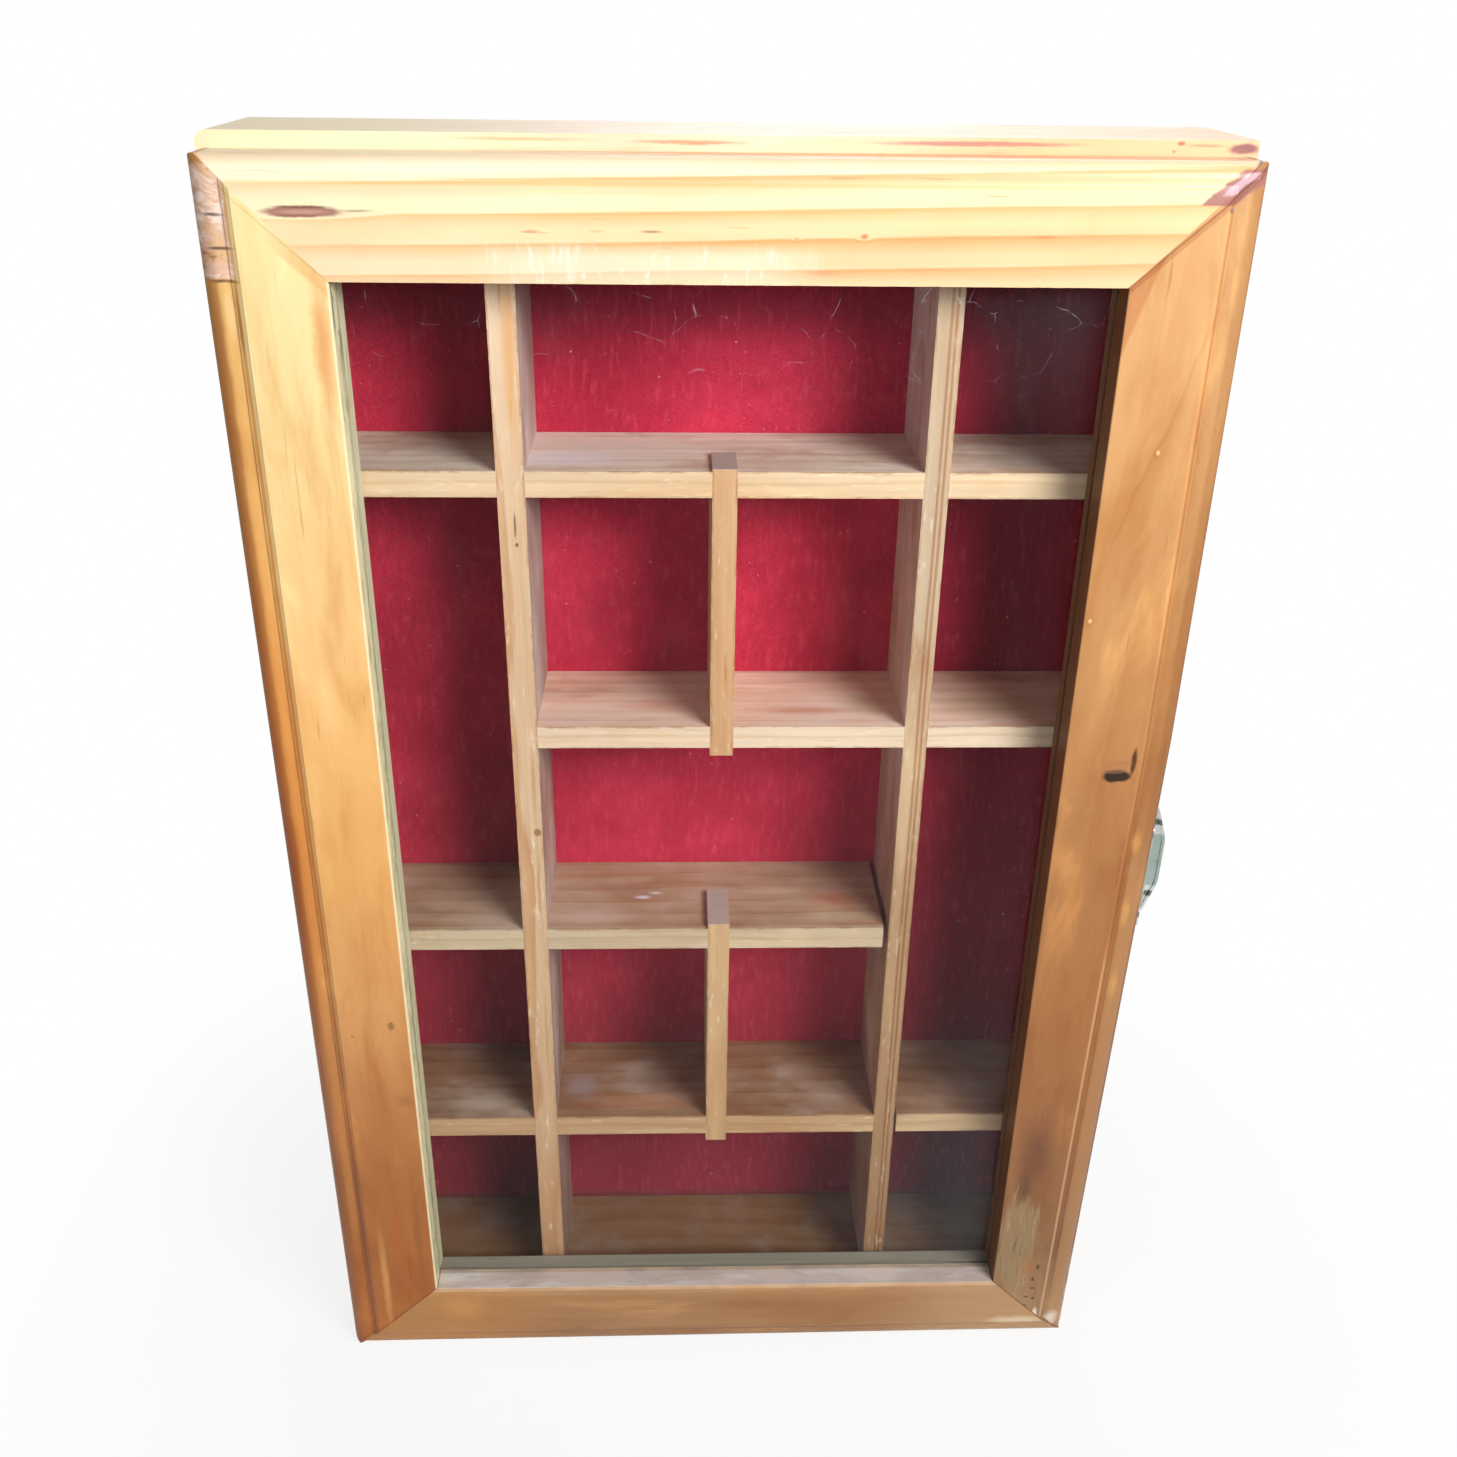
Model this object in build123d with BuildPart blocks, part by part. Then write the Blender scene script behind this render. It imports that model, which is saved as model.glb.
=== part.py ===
from build123d import *
from collections import namedtuple
import os

os.makedirs("parts", exist_ok=True)

# Case boards. The origin is on the case's underside, under the middle of the door's opening,
# and the front faces -Y. The case's head is worn round on the hinge side.
case_width = 302.8
case_height = 472.0
case_middle = 0.1
case_front = -25.3
case_round = 3.5
board = 20.0
floor_board = 22.0
rebate_depth = 8.0
panel_front = 22.3
panel_back = 25.3
panel_inset = 0.7
felt_front = 20.9
case_side_left = case_middle - case_width / 2
case_side_right = case_middle + case_width / 2
inner_left = case_side_left + board
inner_right = case_side_right - board
inner_top = case_height - board

# Compartment grid: dividers stand, shelves lie, and they halve into each other.
grid_front = -25.15
halving = -2.1
left_divider = (-72.5, -63.6)
right_divider = (62.6, 70.7)
shelf_a_z = (365.25, 373.7)
shelf_b_z = (275.8, 283.8)
shelf_c_z = (191.6, 200.3)
shelf_d_z = (101.45, 110.1)
shelf_c_short = 2.0
shelf_d_slack = 1.0
mullion_x = (-4.5, 3.5)
upper_tab_back = -6.15
lower_tab_back = -2.15
upper_tab_over = (3.0, 1.0)
lower_tab_over = (3.5, 2.0)

# Door frame. Its outer edges were planed to fit the case, so none of them is quite square:
# these are the corners of its outline, as (x, z).
head_left = (-150.4, 467.2)
head_right = (150.8, 467.7)
right_bend = (151.6, 285.0)
foot_right = (147.1, 3.8)
foot_left = (-151.4, 1.8)
head_radius = 2.0
foot_radius = 4.0
door_front = -43.7
door_thick = 17.9
sight_side = 113.8
sight_low = 37.2
sight_high = 433.9

# The moulding, measured inwards from the outer edge and back from the face.
stile_quirk = 9.4
rail_top_quirk = 6.1
rail_bottom_quirk = 7.0
stile_roll = 6.5
rail_top_roll = 4.5
rail_bottom_roll = 5.0
roll_drop = 2.0
quirk_drop = 0.5
bevel_wide = 2.8
bevel_sag = 0.2
face_reach = 42.0
end_reach = 8.0
lip_thick = 9.65
rebate_wide = 8.0
glass_thick = 2.0
glass_slack = 0.6
bead_chamfer = 1.5
door_back = door_front + door_thick
lip_back = door_front + lip_thick

# Metal plates and their countersunk screws.
plate_thick = 1.0
screw_radius = 1.0
screw_head_radius = 1.8
screw_length = 9.0

# Butt hinges on the left, let in flush, with their barrels standing proud of the side.
hinge_heights = (95.0, 376.0)
hinge_long = 32.0
hinge_x = -152.6
hinge_y = -25.55
barrel_radius = 1.2
hinge_pin_radius = 0.6
running_gap = 0.05
knuckle_gap = 0.3
leaf_gap = 0.4
leaf_edge = -151.1
leaf_end = -139.0
leaf_screw_x = -145.0
leaf_screw_pitch = 9.5

# Clasp on the right: a base on the door, a hinged hasp and a keeper on the case.
clasp_z = 229.0
clasp_half = 21.0
clasp_seat = 150.4
clasp_base_y = (-35.4, -29.4)
clasp_x = 152.3
clasp_y = -29.4
clasp_barrel_radius = 1.6
clasp_pin_radius = 0.8
clasp_knuckle_half = 8.7
clasp_barrel_half = 16.0
hasp_x = (152.8, 153.8)
hasp_wide_from = -27.4
hasp_back = -20.2
hasp_half = 17.0
hasp_drop = 1.8
lip_half = 22.0
lip_end_x = 157.4
lip_outer_x = 161.5
lip_straight_half = 9.5
lip_tip_round = 1.2
lip_shoulder_round = 14.0
lip_rim_wide = 1.0
lip_rim_high = 0.6
window_y = (-24.6, -22.3)
window_half = 6.6
keeper_y = (-24.9, -11.8)
keeper_half = 12.5
nib_y = (-24.3, -22.9)
nib_half = 6.2
nib_x = 154.4
nib_chamfer = 0.6
keeper_screw_y = -14.6
keeper_screw_pitch = 8.0
base_screw_y = -33.2
base_screw_pitch = 17.0

FROM_START = (Align.CENTER, Align.CENTER, Align.MIN)
LEFT = (-1, 0, 0)
RIGHT = (1, 0, 0)
FORWARD = (0, -1, 0)
BACKWARD = (0, 1, 0)
DOWN = (0, 0, -1)
UP = (0, 0, 1)


def save(builder, name):
    builder.part.label = name
    export_step(builder.part, f"parts/{name}.step")


def block(x, y, z, mode=Mode.ADD):
    with Locations((sum(x) / 2, sum(y) / 2, sum(z) / 2)):
        Box(x[1] - x[0], y[1] - y[0], z[1] - z[0], mode=mode)


def head_left_edge(builder):
    return builder.edges().filter_by(Axis.Y).group_by(Axis.Z)[-1].sort_by(Axis.X)[0]


def barrel(x, y, z, radius, mode=Mode.ADD):
    with Locations((x, y, z[0])):
        Cylinder(radius, z[1] - z[0], align=FROM_START, mode=mode)


def screws(places, mode=Mode.ADD):
    for start, direction in places:
        with Locations(Plane(origin=start, z_dir=direction)):
            Cone(screw_head_radius, screw_radius, plate_thick, align=FROM_START, mode=mode)
            Cylinder(screw_radius, screw_length, align=FROM_START, mode=mode)


# Where the fasteners go: a point on the surface and the way in.
hinge_spans = [(h - hinge_long / 2, h + hinge_long / 2) for h in hinge_heights]
case_leaf_y = (hinge_y + leaf_gap / 2, hinge_y + leaf_gap / 2 + plate_thick)
door_leaf_y = (hinge_y - leaf_gap / 2 - plate_thick, hinge_y - leaf_gap / 2)
leaf_screw_z = [h + step * leaf_screw_pitch for h in hinge_heights for step in (-1, 1)]
hinge_case_places = [((leaf_screw_x, case_leaf_y[0], z), BACKWARD) for z in leaf_screw_z]
hinge_door_places = [((leaf_screw_x, door_leaf_y[1], z), FORWARD) for z in leaf_screw_z]
base_face = clasp_seat + plate_thick
keeper_face = case_side_right + plate_thick
clasp_door_places = [((base_face, base_screw_y, clasp_z + s * base_screw_pitch), LEFT)
                     for s in (-1, 1)]
clasp_case_places = [((keeper_face, keeper_screw_y, clasp_z + s * keeper_screw_pitch), LEFT)
                     for s in (-1, 1)]

# Case boards: the sides stand in rebates cut in the ends of the top and the floor.
side_z = (floor_board - rebate_depth, inner_top + rebate_depth)
board_y = (case_front, panel_front)
full_x = (case_side_left, case_side_right)
left_x = (case_side_left, inner_left)
right_x = (inner_right, case_side_right)

with BuildPart() as case_top:
    block(full_x, board_y, (inner_top, case_height))
    block(left_x, board_y, (inner_top, side_z[1]), Mode.SUBTRACT)
    block(right_x, board_y, (inner_top, side_z[1]), Mode.SUBTRACT)
    fillet(head_left_edge(case_top), case_round)
save(case_top, "case_top")

with BuildPart() as case_bottom:
    block(full_x, board_y, (0, floor_board))
    block(left_x, board_y, (side_z[0], floor_board), Mode.SUBTRACT)
    block(right_x, board_y, (side_z[0], floor_board), Mode.SUBTRACT)
save(case_bottom, "case_bottom")

with BuildPart() as case_left:
    block(left_x, board_y, side_z)
    for span in hinge_spans:
        block((case_side_left, leaf_end), (case_front, case_leaf_y[1]), span, Mode.SUBTRACT)
    screws(hinge_case_places, mode=Mode.SUBTRACT)
save(case_left, "case_left")

with BuildPart() as case_right:
    block(right_x, board_y, side_z)
    screws(clasp_case_places, mode=Mode.SUBTRACT)
save(case_right, "case_right")

with BuildPart() as back_panel:
    block((full_x[0] + panel_inset, full_x[1] - panel_inset), (panel_front, panel_back),
          (panel_inset, case_height - panel_inset))
    fillet(head_left_edge(back_panel), case_round - panel_inset)
save(back_panel, "back_panel")

with BuildPart() as back_felt:
    block((inner_left, inner_right), (felt_front, panel_front), (floor_board, inner_top))
save(back_felt, "back_felt")

# Dividers are slotted from behind, shelves from the front.
grid_y = (grid_front, felt_front)
front_half = (grid_front, halving)
rear_half = (halving, felt_front)


def divider(x, shelves):
    with BuildPart() as made:
        block(x, grid_y, (floor_board, inner_top))
        for z in shelves:
            block(x, rear_half, z, Mode.SUBTRACT)
        return made


def shelf(x, z, slots, tab_back):
    with BuildPart() as made:
        block(x, grid_y, z)
        for slot in slots:
            block(slot, front_half, z, Mode.SUBTRACT)
        block(mullion_x, (grid_front, tab_back), z, Mode.SUBTRACT)
        return made


def mullion(below, above, over, tab_back):
    with BuildPart() as made:
        block(mullion_x, grid_y, (below[1], above[0]))
        block(mullion_x, (grid_front, tab_back), (below[0] - over[0], above[1] + over[1]))
    return made


divider_left = divider(left_divider, (shelf_a_z, shelf_c_z, shelf_d_z))
save(divider_left, "divider_left")
divider_right = divider(right_divider, (shelf_a_z, shelf_b_z, shelf_d_z))
save(divider_right, "divider_right")

slack_right = (right_divider[0], right_divider[1] + shelf_d_slack)
shelf_a = shelf((inner_left, inner_right), shelf_a_z, (left_divider, right_divider),
                upper_tab_back)
save(shelf_a, "shelf_a")
shelf_b = shelf((left_divider[1], inner_right), shelf_b_z, (right_divider,), upper_tab_back)
save(shelf_b, "shelf_b")
shelf_c = shelf((inner_left, right_divider[0] - shelf_c_short), shelf_c_z, (left_divider,),
                lower_tab_back)
save(shelf_c, "shelf_c")
shelf_d = shelf((inner_left, inner_right), shelf_d_z, (left_divider, slack_right),
                lower_tab_back)
save(shelf_d, "shelf_d")

mullion_upper = mullion(shelf_b_z, shelf_a_z, upper_tab_over, upper_tab_back)
save(mullion_upper, "mullion_upper")
mullion_lower = mullion(shelf_d_z, shelf_c_z, lower_tab_over, lower_tab_back)
save(mullion_lower, "mullion_lower")

# Door frame: one moulding for rails and stiles, mitred from the sight corners. Edges and
# corners run anticlockwise as seen from the front.
Side = namedtuple("Side", "edge corners quirk roll")
low_left = (-sight_side, sight_low)
low_right = (sight_side, sight_low)
high_left = (-sight_side, sight_high)
high_right = (sight_side, sight_high)
top_side = Side((head_right, head_left), (high_right, high_left), rail_top_quirk, rail_top_roll)
bottom_side = Side((foot_left, foot_right), (low_left, low_right), rail_bottom_quirk,
                   rail_bottom_roll)
left_side = Side((head_left, foot_left), (high_left, low_left), stile_quirk, stile_roll)
right_side = Side((foot_right, right_bend, head_right), (low_right, high_right), stile_quirk,
                  stile_roll)
face_plane = Plane(origin=(0, door_front, 0), x_dir=RIGHT, z_dir=FORWARD)


def direction(start, end):
    return Vector(end[0] - start[0], 0, end[1] - start[1]).normalized()


def on_face(point):
    return Vector(point[0], door_front, point[1])


def mitre_end(corner):
    across = 1 if corner[0] > 0 else -1
    along = 1 if corner[1] > (sight_low + sight_high) / 2 else -1
    return (corner[0] + across * face_reach, corner[1] + along * face_reach)


def mitre_area(side):
    first, second = side.corners
    with BuildSketch(face_plane) as made:
        with BuildLine():
            Polyline(first, mitre_end(first), mitre_end(second), second, close=True)
        make_face()
    return made.sketch


def door_outline():
    with BuildSketch(face_plane) as made:
        with BuildLine():
            Polyline(foot_left, foot_right, right_bend, head_right, head_left, close=True)
        make_face()
        fillet(made.vertices().sort_by(Axis.Y)[:2], foot_radius)
        fillet(made.vertices().sort_by(Axis.Y)[-2:], head_radius)
    return made.sketch


def moulding(side):
    start = direction(side.edge[0], side.edge[1])
    finish = direction(side.edge[-2], side.edge[-1])
    points = [on_face(p) for p in side.edge]
    points[0] = points[0] - start * end_reach
    points[-1] = points[-1] + finish * end_reach
    inward = start.cross(Vector(*BACKWARD))
    bevel = side.quirk + bevel_wide
    level = roll_drop - quirk_drop
    turn = side.roll * (1 - 0.5 ** 0.5)
    with BuildPart() as made:
        with BuildLine():
            Polyline(*points)
        with BuildSketch(Plane(origin=points[0], x_dir=inward, z_dir=start * -1)):
            with BuildLine():
                Line((0, door_thick), (0, roll_drop + side.roll))
                ThreePointArc((0, roll_drop + side.roll), (turn, roll_drop + turn),
                              (side.roll, roll_drop))
                Line((side.roll, roll_drop), (side.quirk, roll_drop))
                Line((side.quirk, roll_drop), (side.quirk, level))
                ThreePointArc((side.quirk, level),
                              ((side.quirk + bevel) / 2, level / 2 + bevel_sag), (bevel, 0))
                Polyline((bevel, 0), (face_reach, 0), (face_reach, door_thick), (0, door_thick))
            make_face()
        sweep(transition=Transition.RIGHT)
    return made.part


def frame_member(side):
    with BuildPart() as made:
        add(moulding(side))
        extrude(mitre_area(side), amount=-door_thick, mode=Mode.INTERSECT)
        extrude(door_outline(), amount=-door_thick, mode=Mode.INTERSECT)
        block((-sight_side - rebate_wide, sight_side + rebate_wide), (lip_back, door_back),
              (sight_low - rebate_wide, sight_high + rebate_wide), Mode.SUBTRACT)
    return made.part


def glazing_bead(side):
    first, second = (on_face(corner) for corner in side.corners)
    along = (second - first).normalized()
    outward = along.cross(Vector(*FORWARD))
    glass_back = lip_thick + glass_thick
    with BuildPart() as made:
        with BuildSketch(Plane(origin=(first + second) / 2, x_dir=outward, z_dir=along)):
            with BuildLine():
                Polyline((rebate_wide, glass_back), (0, glass_back),
                         (0, door_thick - bead_chamfer), (bead_chamfer, door_thick),
                         (rebate_wide, door_thick), close=True)
            make_face()
        extrude(amount=(second - first).length / 2 + rebate_wide, both=True)
        extrude(mitre_area(side), amount=-door_thick, mode=Mode.INTERSECT)
        return made


with BuildPart() as door_rail_top:
    add(frame_member(top_side))
save(door_rail_top, "door_rail_top")

with BuildPart() as door_rail_bottom:
    add(frame_member(bottom_side))
save(door_rail_bottom, "door_rail_bottom")

with BuildPart() as door_stile_left:
    add(frame_member(left_side))
    for span in hinge_spans:
        block((hinge_x, leaf_end), (door_leaf_y[0], door_back), span, Mode.SUBTRACT)
    screws(hinge_door_places, mode=Mode.SUBTRACT)
save(door_stile_left, "door_stile_left")

with BuildPart() as door_stile_right:
    add(frame_member(right_side))
    block((clasp_seat, base_face), (door_front, door_back),
          (clasp_z - clasp_half, clasp_z + clasp_half), Mode.SUBTRACT)
    screws(clasp_door_places, mode=Mode.SUBTRACT)
save(door_stile_right, "door_stile_right")

glass_margin = rebate_wide - glass_slack
glass_y = (lip_back, lip_back + glass_thick)
with BuildPart() as door_glass:
    block((-sight_side - glass_margin, sight_side + glass_margin), glass_y,
          (sight_low - glass_margin, sight_high + glass_margin))
save(door_glass, "door_glass")

bead_top = glazing_bead(top_side)
save(bead_top, "bead_top")
bead_bottom = glazing_bead(bottom_side)
save(bead_bottom, "bead_bottom")
bead_left = glazing_bead(left_side)
save(bead_left, "bead_left")
bead_right = glazing_bead(right_side)
save(bead_right, "bead_right")


# Hinges: the case leaf carries the two outer knuckles, the door leaf the middle one.
def leaf(span, y, knuckles, bore, places):
    with BuildPart() as made:
        block((leaf_edge, leaf_end), y, span)
        for knuckle in knuckles:
            block((hinge_x, leaf_edge), y, knuckle)
            barrel(hinge_x, hinge_y, knuckle, barrel_radius)
        for knuckle in knuckles:
            barrel(hinge_x, hinge_y, knuckle, bore, Mode.SUBTRACT)
        screws(places, mode=Mode.SUBTRACT)
    return made


def hinge(span, name):
    third = (span[1] - span[0]) / 3
    outer = [(span[0], span[0] + third - knuckle_gap / 2),
             (span[1] - third + knuckle_gap / 2, span[1])]
    inner = [(span[0] + third + knuckle_gap / 2, span[1] - third - knuckle_gap / 2)]
    case_leaf = leaf(span, case_leaf_y, outer, hinge_pin_radius, hinge_case_places)
    save(case_leaf, f"hinge_{name}_case_leaf")
    door_leaf = leaf(span, door_leaf_y, inner, hinge_pin_radius + running_gap,
                     hinge_door_places)
    save(door_leaf, f"hinge_{name}_door_leaf")
    with BuildPart() as pin:
        barrel(hinge_x, hinge_y, span, hinge_pin_radius)
    save(pin, f"hinge_{name}_pin")


hinge(hinge_spans[1], "upper")
hinge(hinge_spans[0], "lower")

with BuildPart() as hinge_case_screws:
    screws(hinge_case_places)
save(hinge_case_screws, "hinge_case_screws")

with BuildPart() as hinge_door_screws:
    screws(hinge_door_places)
save(hinge_door_screws, "hinge_door_screws")

# Clasp.
base_knuckles = [(clasp_z - clasp_barrel_half, clasp_z - clasp_knuckle_half - knuckle_gap),
                 (clasp_z + clasp_knuckle_half + knuckle_gap, clasp_z + clasp_barrel_half)]
hasp_knuckle = (clasp_z - clasp_knuckle_half, clasp_z + clasp_knuckle_half)
strap_y = (clasp_base_y[0], clasp_y - clasp_barrel_radius)

with BuildPart() as clasp_base:
    block((clasp_seat, base_face), strap_y, (clasp_z - clasp_half, clasp_z + clasp_half))
    for z in base_knuckles:
        block((clasp_seat, base_face), clasp_base_y, z)
        barrel(clasp_x, clasp_y, z, clasp_barrel_radius)
    for z in base_knuckles:
        barrel(clasp_x, clasp_y, z, clasp_pin_radius, Mode.SUBTRACT)
    screws(clasp_door_places, mode=Mode.SUBTRACT)
save(clasp_base, "clasp_base")

lip_z = clasp_z - hasp_drop


def lip_face(inset):
    front = Plane(origin=(0, hasp_back - plate_thick, lip_z), x_dir=(1, 0, 0), z_dir=(0, -1, 0))
    with BuildSketch(front) as made:
        with BuildLine():
            Polyline((hasp_x[0], -lip_half), (lip_end_x, -lip_half),
                     (lip_outer_x, -lip_straight_half), (lip_outer_x, lip_straight_half),
                     (lip_end_x, lip_half), (hasp_x[0], lip_half), close=True)
        make_face()
        fillet(made.vertices().filter_by(lambda v: v.X > lip_end_x + lip_tip_round),
               lip_shoulder_round)
        tips = [v for v in made.vertices() if abs(v.X - lip_end_x) < lip_tip_round / 2]
        fillet(tips, lip_tip_round)
        if inset:
            offset(amount=-inset, mode=Mode.REPLACE)
    return made.sketch


with BuildPart() as clasp_hasp:
    block(hasp_x, (hasp_wide_from, hasp_back), (lip_z - hasp_half, lip_z + hasp_half))
    block(hasp_x, (clasp_y, hasp_wide_from), hasp_knuckle)
    barrel(clasp_x, clasp_y, hasp_knuckle, clasp_barrel_radius)
    extrude(lip_face(0), amount=-plate_thick)
    extrude(lip_face(0), amount=lip_rim_high)
    extrude(lip_face(lip_rim_wide), amount=lip_rim_high, mode=Mode.SUBTRACT)
    barrel(clasp_x, clasp_y, hasp_knuckle, clasp_pin_radius + running_gap, Mode.SUBTRACT)
    block(hasp_x, window_y, (clasp_z - window_half, clasp_z + window_half), Mode.SUBTRACT)
save(clasp_hasp, "clasp_hasp")

with BuildPart() as clasp_pin:
    barrel(clasp_x, clasp_y, (base_knuckles[0][0], base_knuckles[1][1]), clasp_pin_radius)
save(clasp_pin, "clasp_pin")

with BuildPart() as clasp_keeper:
    block((case_side_right, keeper_face), keeper_y, (clasp_z - keeper_half, clasp_z + keeper_half))
    block((case_side_right, nib_x), nib_y, (clasp_z - nib_half, clasp_z + nib_half))
    nib_edge = clasp_keeper.edges().filter_by(Axis.Z).sort_by(Axis.X)[-2:]
    chamfer(nib_edge.sort_by(Axis.Y)[:1], nib_chamfer)
    screws(clasp_case_places, mode=Mode.SUBTRACT)
save(clasp_keeper, "clasp_keeper")

with BuildPart() as clasp_door_screws:
    screws(clasp_door_places)
save(clasp_door_screws, "clasp_door_screws")

with BuildPart() as clasp_case_screws:
    screws(clasp_case_places)
save(clasp_case_screws, "clasp_case_screws")
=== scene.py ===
import math

import bmesh
import bpy
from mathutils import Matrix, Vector


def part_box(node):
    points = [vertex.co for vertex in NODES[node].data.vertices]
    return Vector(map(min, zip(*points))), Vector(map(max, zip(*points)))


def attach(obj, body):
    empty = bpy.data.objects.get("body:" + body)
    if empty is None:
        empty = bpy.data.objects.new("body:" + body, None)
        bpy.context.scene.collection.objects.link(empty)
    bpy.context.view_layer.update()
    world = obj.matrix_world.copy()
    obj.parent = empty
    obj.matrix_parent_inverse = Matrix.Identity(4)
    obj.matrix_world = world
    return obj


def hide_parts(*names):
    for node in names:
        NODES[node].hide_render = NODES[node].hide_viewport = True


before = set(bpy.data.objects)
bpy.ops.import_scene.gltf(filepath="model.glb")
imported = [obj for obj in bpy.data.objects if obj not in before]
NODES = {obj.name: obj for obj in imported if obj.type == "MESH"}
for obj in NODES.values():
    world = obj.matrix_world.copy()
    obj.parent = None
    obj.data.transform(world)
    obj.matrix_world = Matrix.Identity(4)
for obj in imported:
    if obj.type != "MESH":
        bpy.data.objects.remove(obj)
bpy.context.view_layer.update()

MM = 0.001

# The case and its door, in mm, as the CAD has them. The glass shows through the sight opening,
# the corners (x, z) are those of the door's outer edge, and a quirk is the groove of the
# moulding, measured in from that edge.
CASE_HIGH = 472.0
CASE_FRONT = -25.3
DOOR_FRONT = -43.7
SIGHT_SIDE = 113.8
SIGHT_LOW = 37.2
SIGHT_HIGH = 433.9
HEAD_LEFT = (-150.4, 467.2)
HEAD_RIGHT = (150.8, 467.7)
RIGHT_BEND = (151.6, 285.0)
FOOT_RIGHT = (147.1, 3.8)
FOOT_LEFT = (-151.4, 1.8)
STILE_QUIRK = 10.4
TOP_QUIRK = 7.0
BOTTOM_QUIRK = 7.8


def srgb(red, green, blue):
    """A colour given in 0-255 display values, as linear RGBA."""
    out = []
    for value in (red, green, blue):
        share = value / 255
        out.append(share / 12.92 if share <= 0.04045 else ((share + 0.055) / 1.055) ** 2.4)
    return (*out, 1.0)


# ------------------------ node helpers
class Tree:
    """A material's node tree, with short calls for the nodes used here. Masks run from 0 to 1."""

    def __init__(self, name):
        self.material = bpy.data.materials.new(name)
        self.material.use_nodes = True
        self.tree = self.material.node_tree
        self.tree.nodes.clear()
        self.out = self.tree.nodes.new("ShaderNodeOutputMaterial")
        self.shader = self.tree.nodes.new("ShaderNodeBsdfPrincipled")
        self.tree.links.new(self.shader.outputs[0], self.out.inputs[0])
        coords = self.tree.nodes.new("ShaderNodeTexCoord")
        self.point = coords.outputs["Object"]

    def put(self, socket, value):
        if isinstance(value, bpy.types.NodeSocket):
            self.tree.links.new(value, socket)
        else:
            socket.default_value = value

    def node(self, kind, **values):
        made = self.tree.nodes.new(kind)
        for name, value in values.items():
            self.put(made.inputs[name], value)
        return made

    def math(self, operation, a, b=0.0):
        made = self.tree.nodes.new("ShaderNodeMath")
        made.operation = operation
        self.put(made.inputs[0], a)
        self.put(made.inputs[1], b)
        return made.outputs[0]

    def times(self, first, *others):
        for other in others:
            first = self.math("MULTIPLY", first, other)
        return first

    def plus(self, first, *others):
        for other in others:
            first = self.math("ADD", first, other)
        return first

    def push(self, noise, amount):
        """Turns noise into a push of up to half that amount either way."""
        return self.times(self.math("SUBTRACT", noise, 0.5), amount)

    def vmath(self, operation, a, b=(0, 0, 0)):
        made = self.tree.nodes.new("ShaderNodeVectorMath")
        made.operation = operation
        self.put(made.inputs[0], a)
        self.put(made.inputs[1], b)
        return made.outputs["Value"] if operation == "LENGTH" else made.outputs[0]

    def mix(self, factor, a, b, blend="MIX"):
        made = self.tree.nodes.new("ShaderNodeMix")
        made.data_type = "RGBA"
        made.blend_type = blend
        made.clamp_factor = True
        self.put(made.inputs[0], factor)
        self.put(made.inputs[6], a)
        self.put(made.inputs[7], b)
        return made.outputs[2]

    def shaders(self, factor, a, b):
        made = self.tree.nodes.new("ShaderNodeMixShader")
        self.put(made.inputs[0], factor)
        self.put(made.inputs[1], a)
        self.put(made.inputs[2], b)
        return made.outputs[0]

    def span(self, value, low, high, to_low=0.0, to_high=1.0, smooth=True):
        made = self.tree.nodes.new("ShaderNodeMapRange")
        made.interpolation_type = "SMOOTHSTEP" if smooth else "LINEAR"
        for index, number in enumerate((value, low, high, to_low, to_high)):
            self.put(made.inputs[index], number)
        return made.outputs[0]

    def band(self, value, low, high, soft):
        """1 between low and high, fading to 0 over soft beyond each."""
        rise = self.span(value, low - soft, low)
        fall = self.span(value, high + soft, high)
        return self.math("MULTIPLY", rise, fall)

    def over(self, axis, low, high, to_low=0.0, to_high=1.0, smooth=True):
        """A span along an axis, between two places in mm."""
        return self.span(axis, low * MM, high * MM, to_low, to_high, smooth)

    def within(self, axis, low, high, soft):
        """A band along an axis, between two places in mm."""
        return self.band(axis, low * MM, high * MM, soft * MM)

    def ramp(self, value, stops):
        made = self.tree.nodes.new("ShaderNodeValToRGB")
        elements = made.color_ramp.elements
        while len(elements) < len(stops):
            elements.new(1.0)
        for element, (place, colour) in zip(elements, stops):
            element.position = place
            element.color = colour
        self.put(made.inputs[0], value)
        return made.outputs[0]

    def split(self, vector):
        return self.node("ShaderNodeSeparateXYZ", Vector=vector).outputs

    def join(self, x, y, z):
        return self.node("ShaderNodeCombineXYZ", X=x, Y=y, Z=z).outputs[0]

    def scaled(self, vector, scale, offset=(0, 0, 0)):
        return self.node("ShaderNodeMapping", Vector=vector, Scale=scale,
                         Location=offset).outputs[0]

    def noise(self, vector, scale=1.0, detail=2.0, rough=0.5, colour=False):
        made = self.node("ShaderNodeTexNoise", Vector=vector, Scale=scale, Detail=detail,
                         Roughness=rough)
        return made.outputs["Color" if colour else "Fac"]

    def drawn(self, vector, scale, detail=4.0, rough=0.7, offset=(0, 0, 0)):
        """Noise drawn out by its own scale along each axis."""
        return self.noise(self.scaled(vector, scale, offset), 1.0, detail, rough)

    def wobbled(self, vector, scale, amount, detail=2.0):
        """The vector, pushed about by coloured noise, by up to that amount along each axis."""
        cloud = self.noise(vector, scale, detail, colour=True)
        centred = self.vmath("SUBTRACT", cloud, (0.5, 0.5, 0.5))
        return self.vmath("ADD", vector, self.vmath("MULTIPLY", centred, (2 * amount,) * 3))

    def spot(self, centre, radii, soft, vector):
        """1 inside an ellipsoid given in mm, fading to 0 at its edge."""
        away = self.vmath("SUBTRACT", vector, [place * MM for place in centre])
        unit = self.vmath("DIVIDE", away, [radius * MM for radius in radii])
        return self.span(self.vmath("LENGTH", unit), 1.0, 1.0 - soft)

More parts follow.
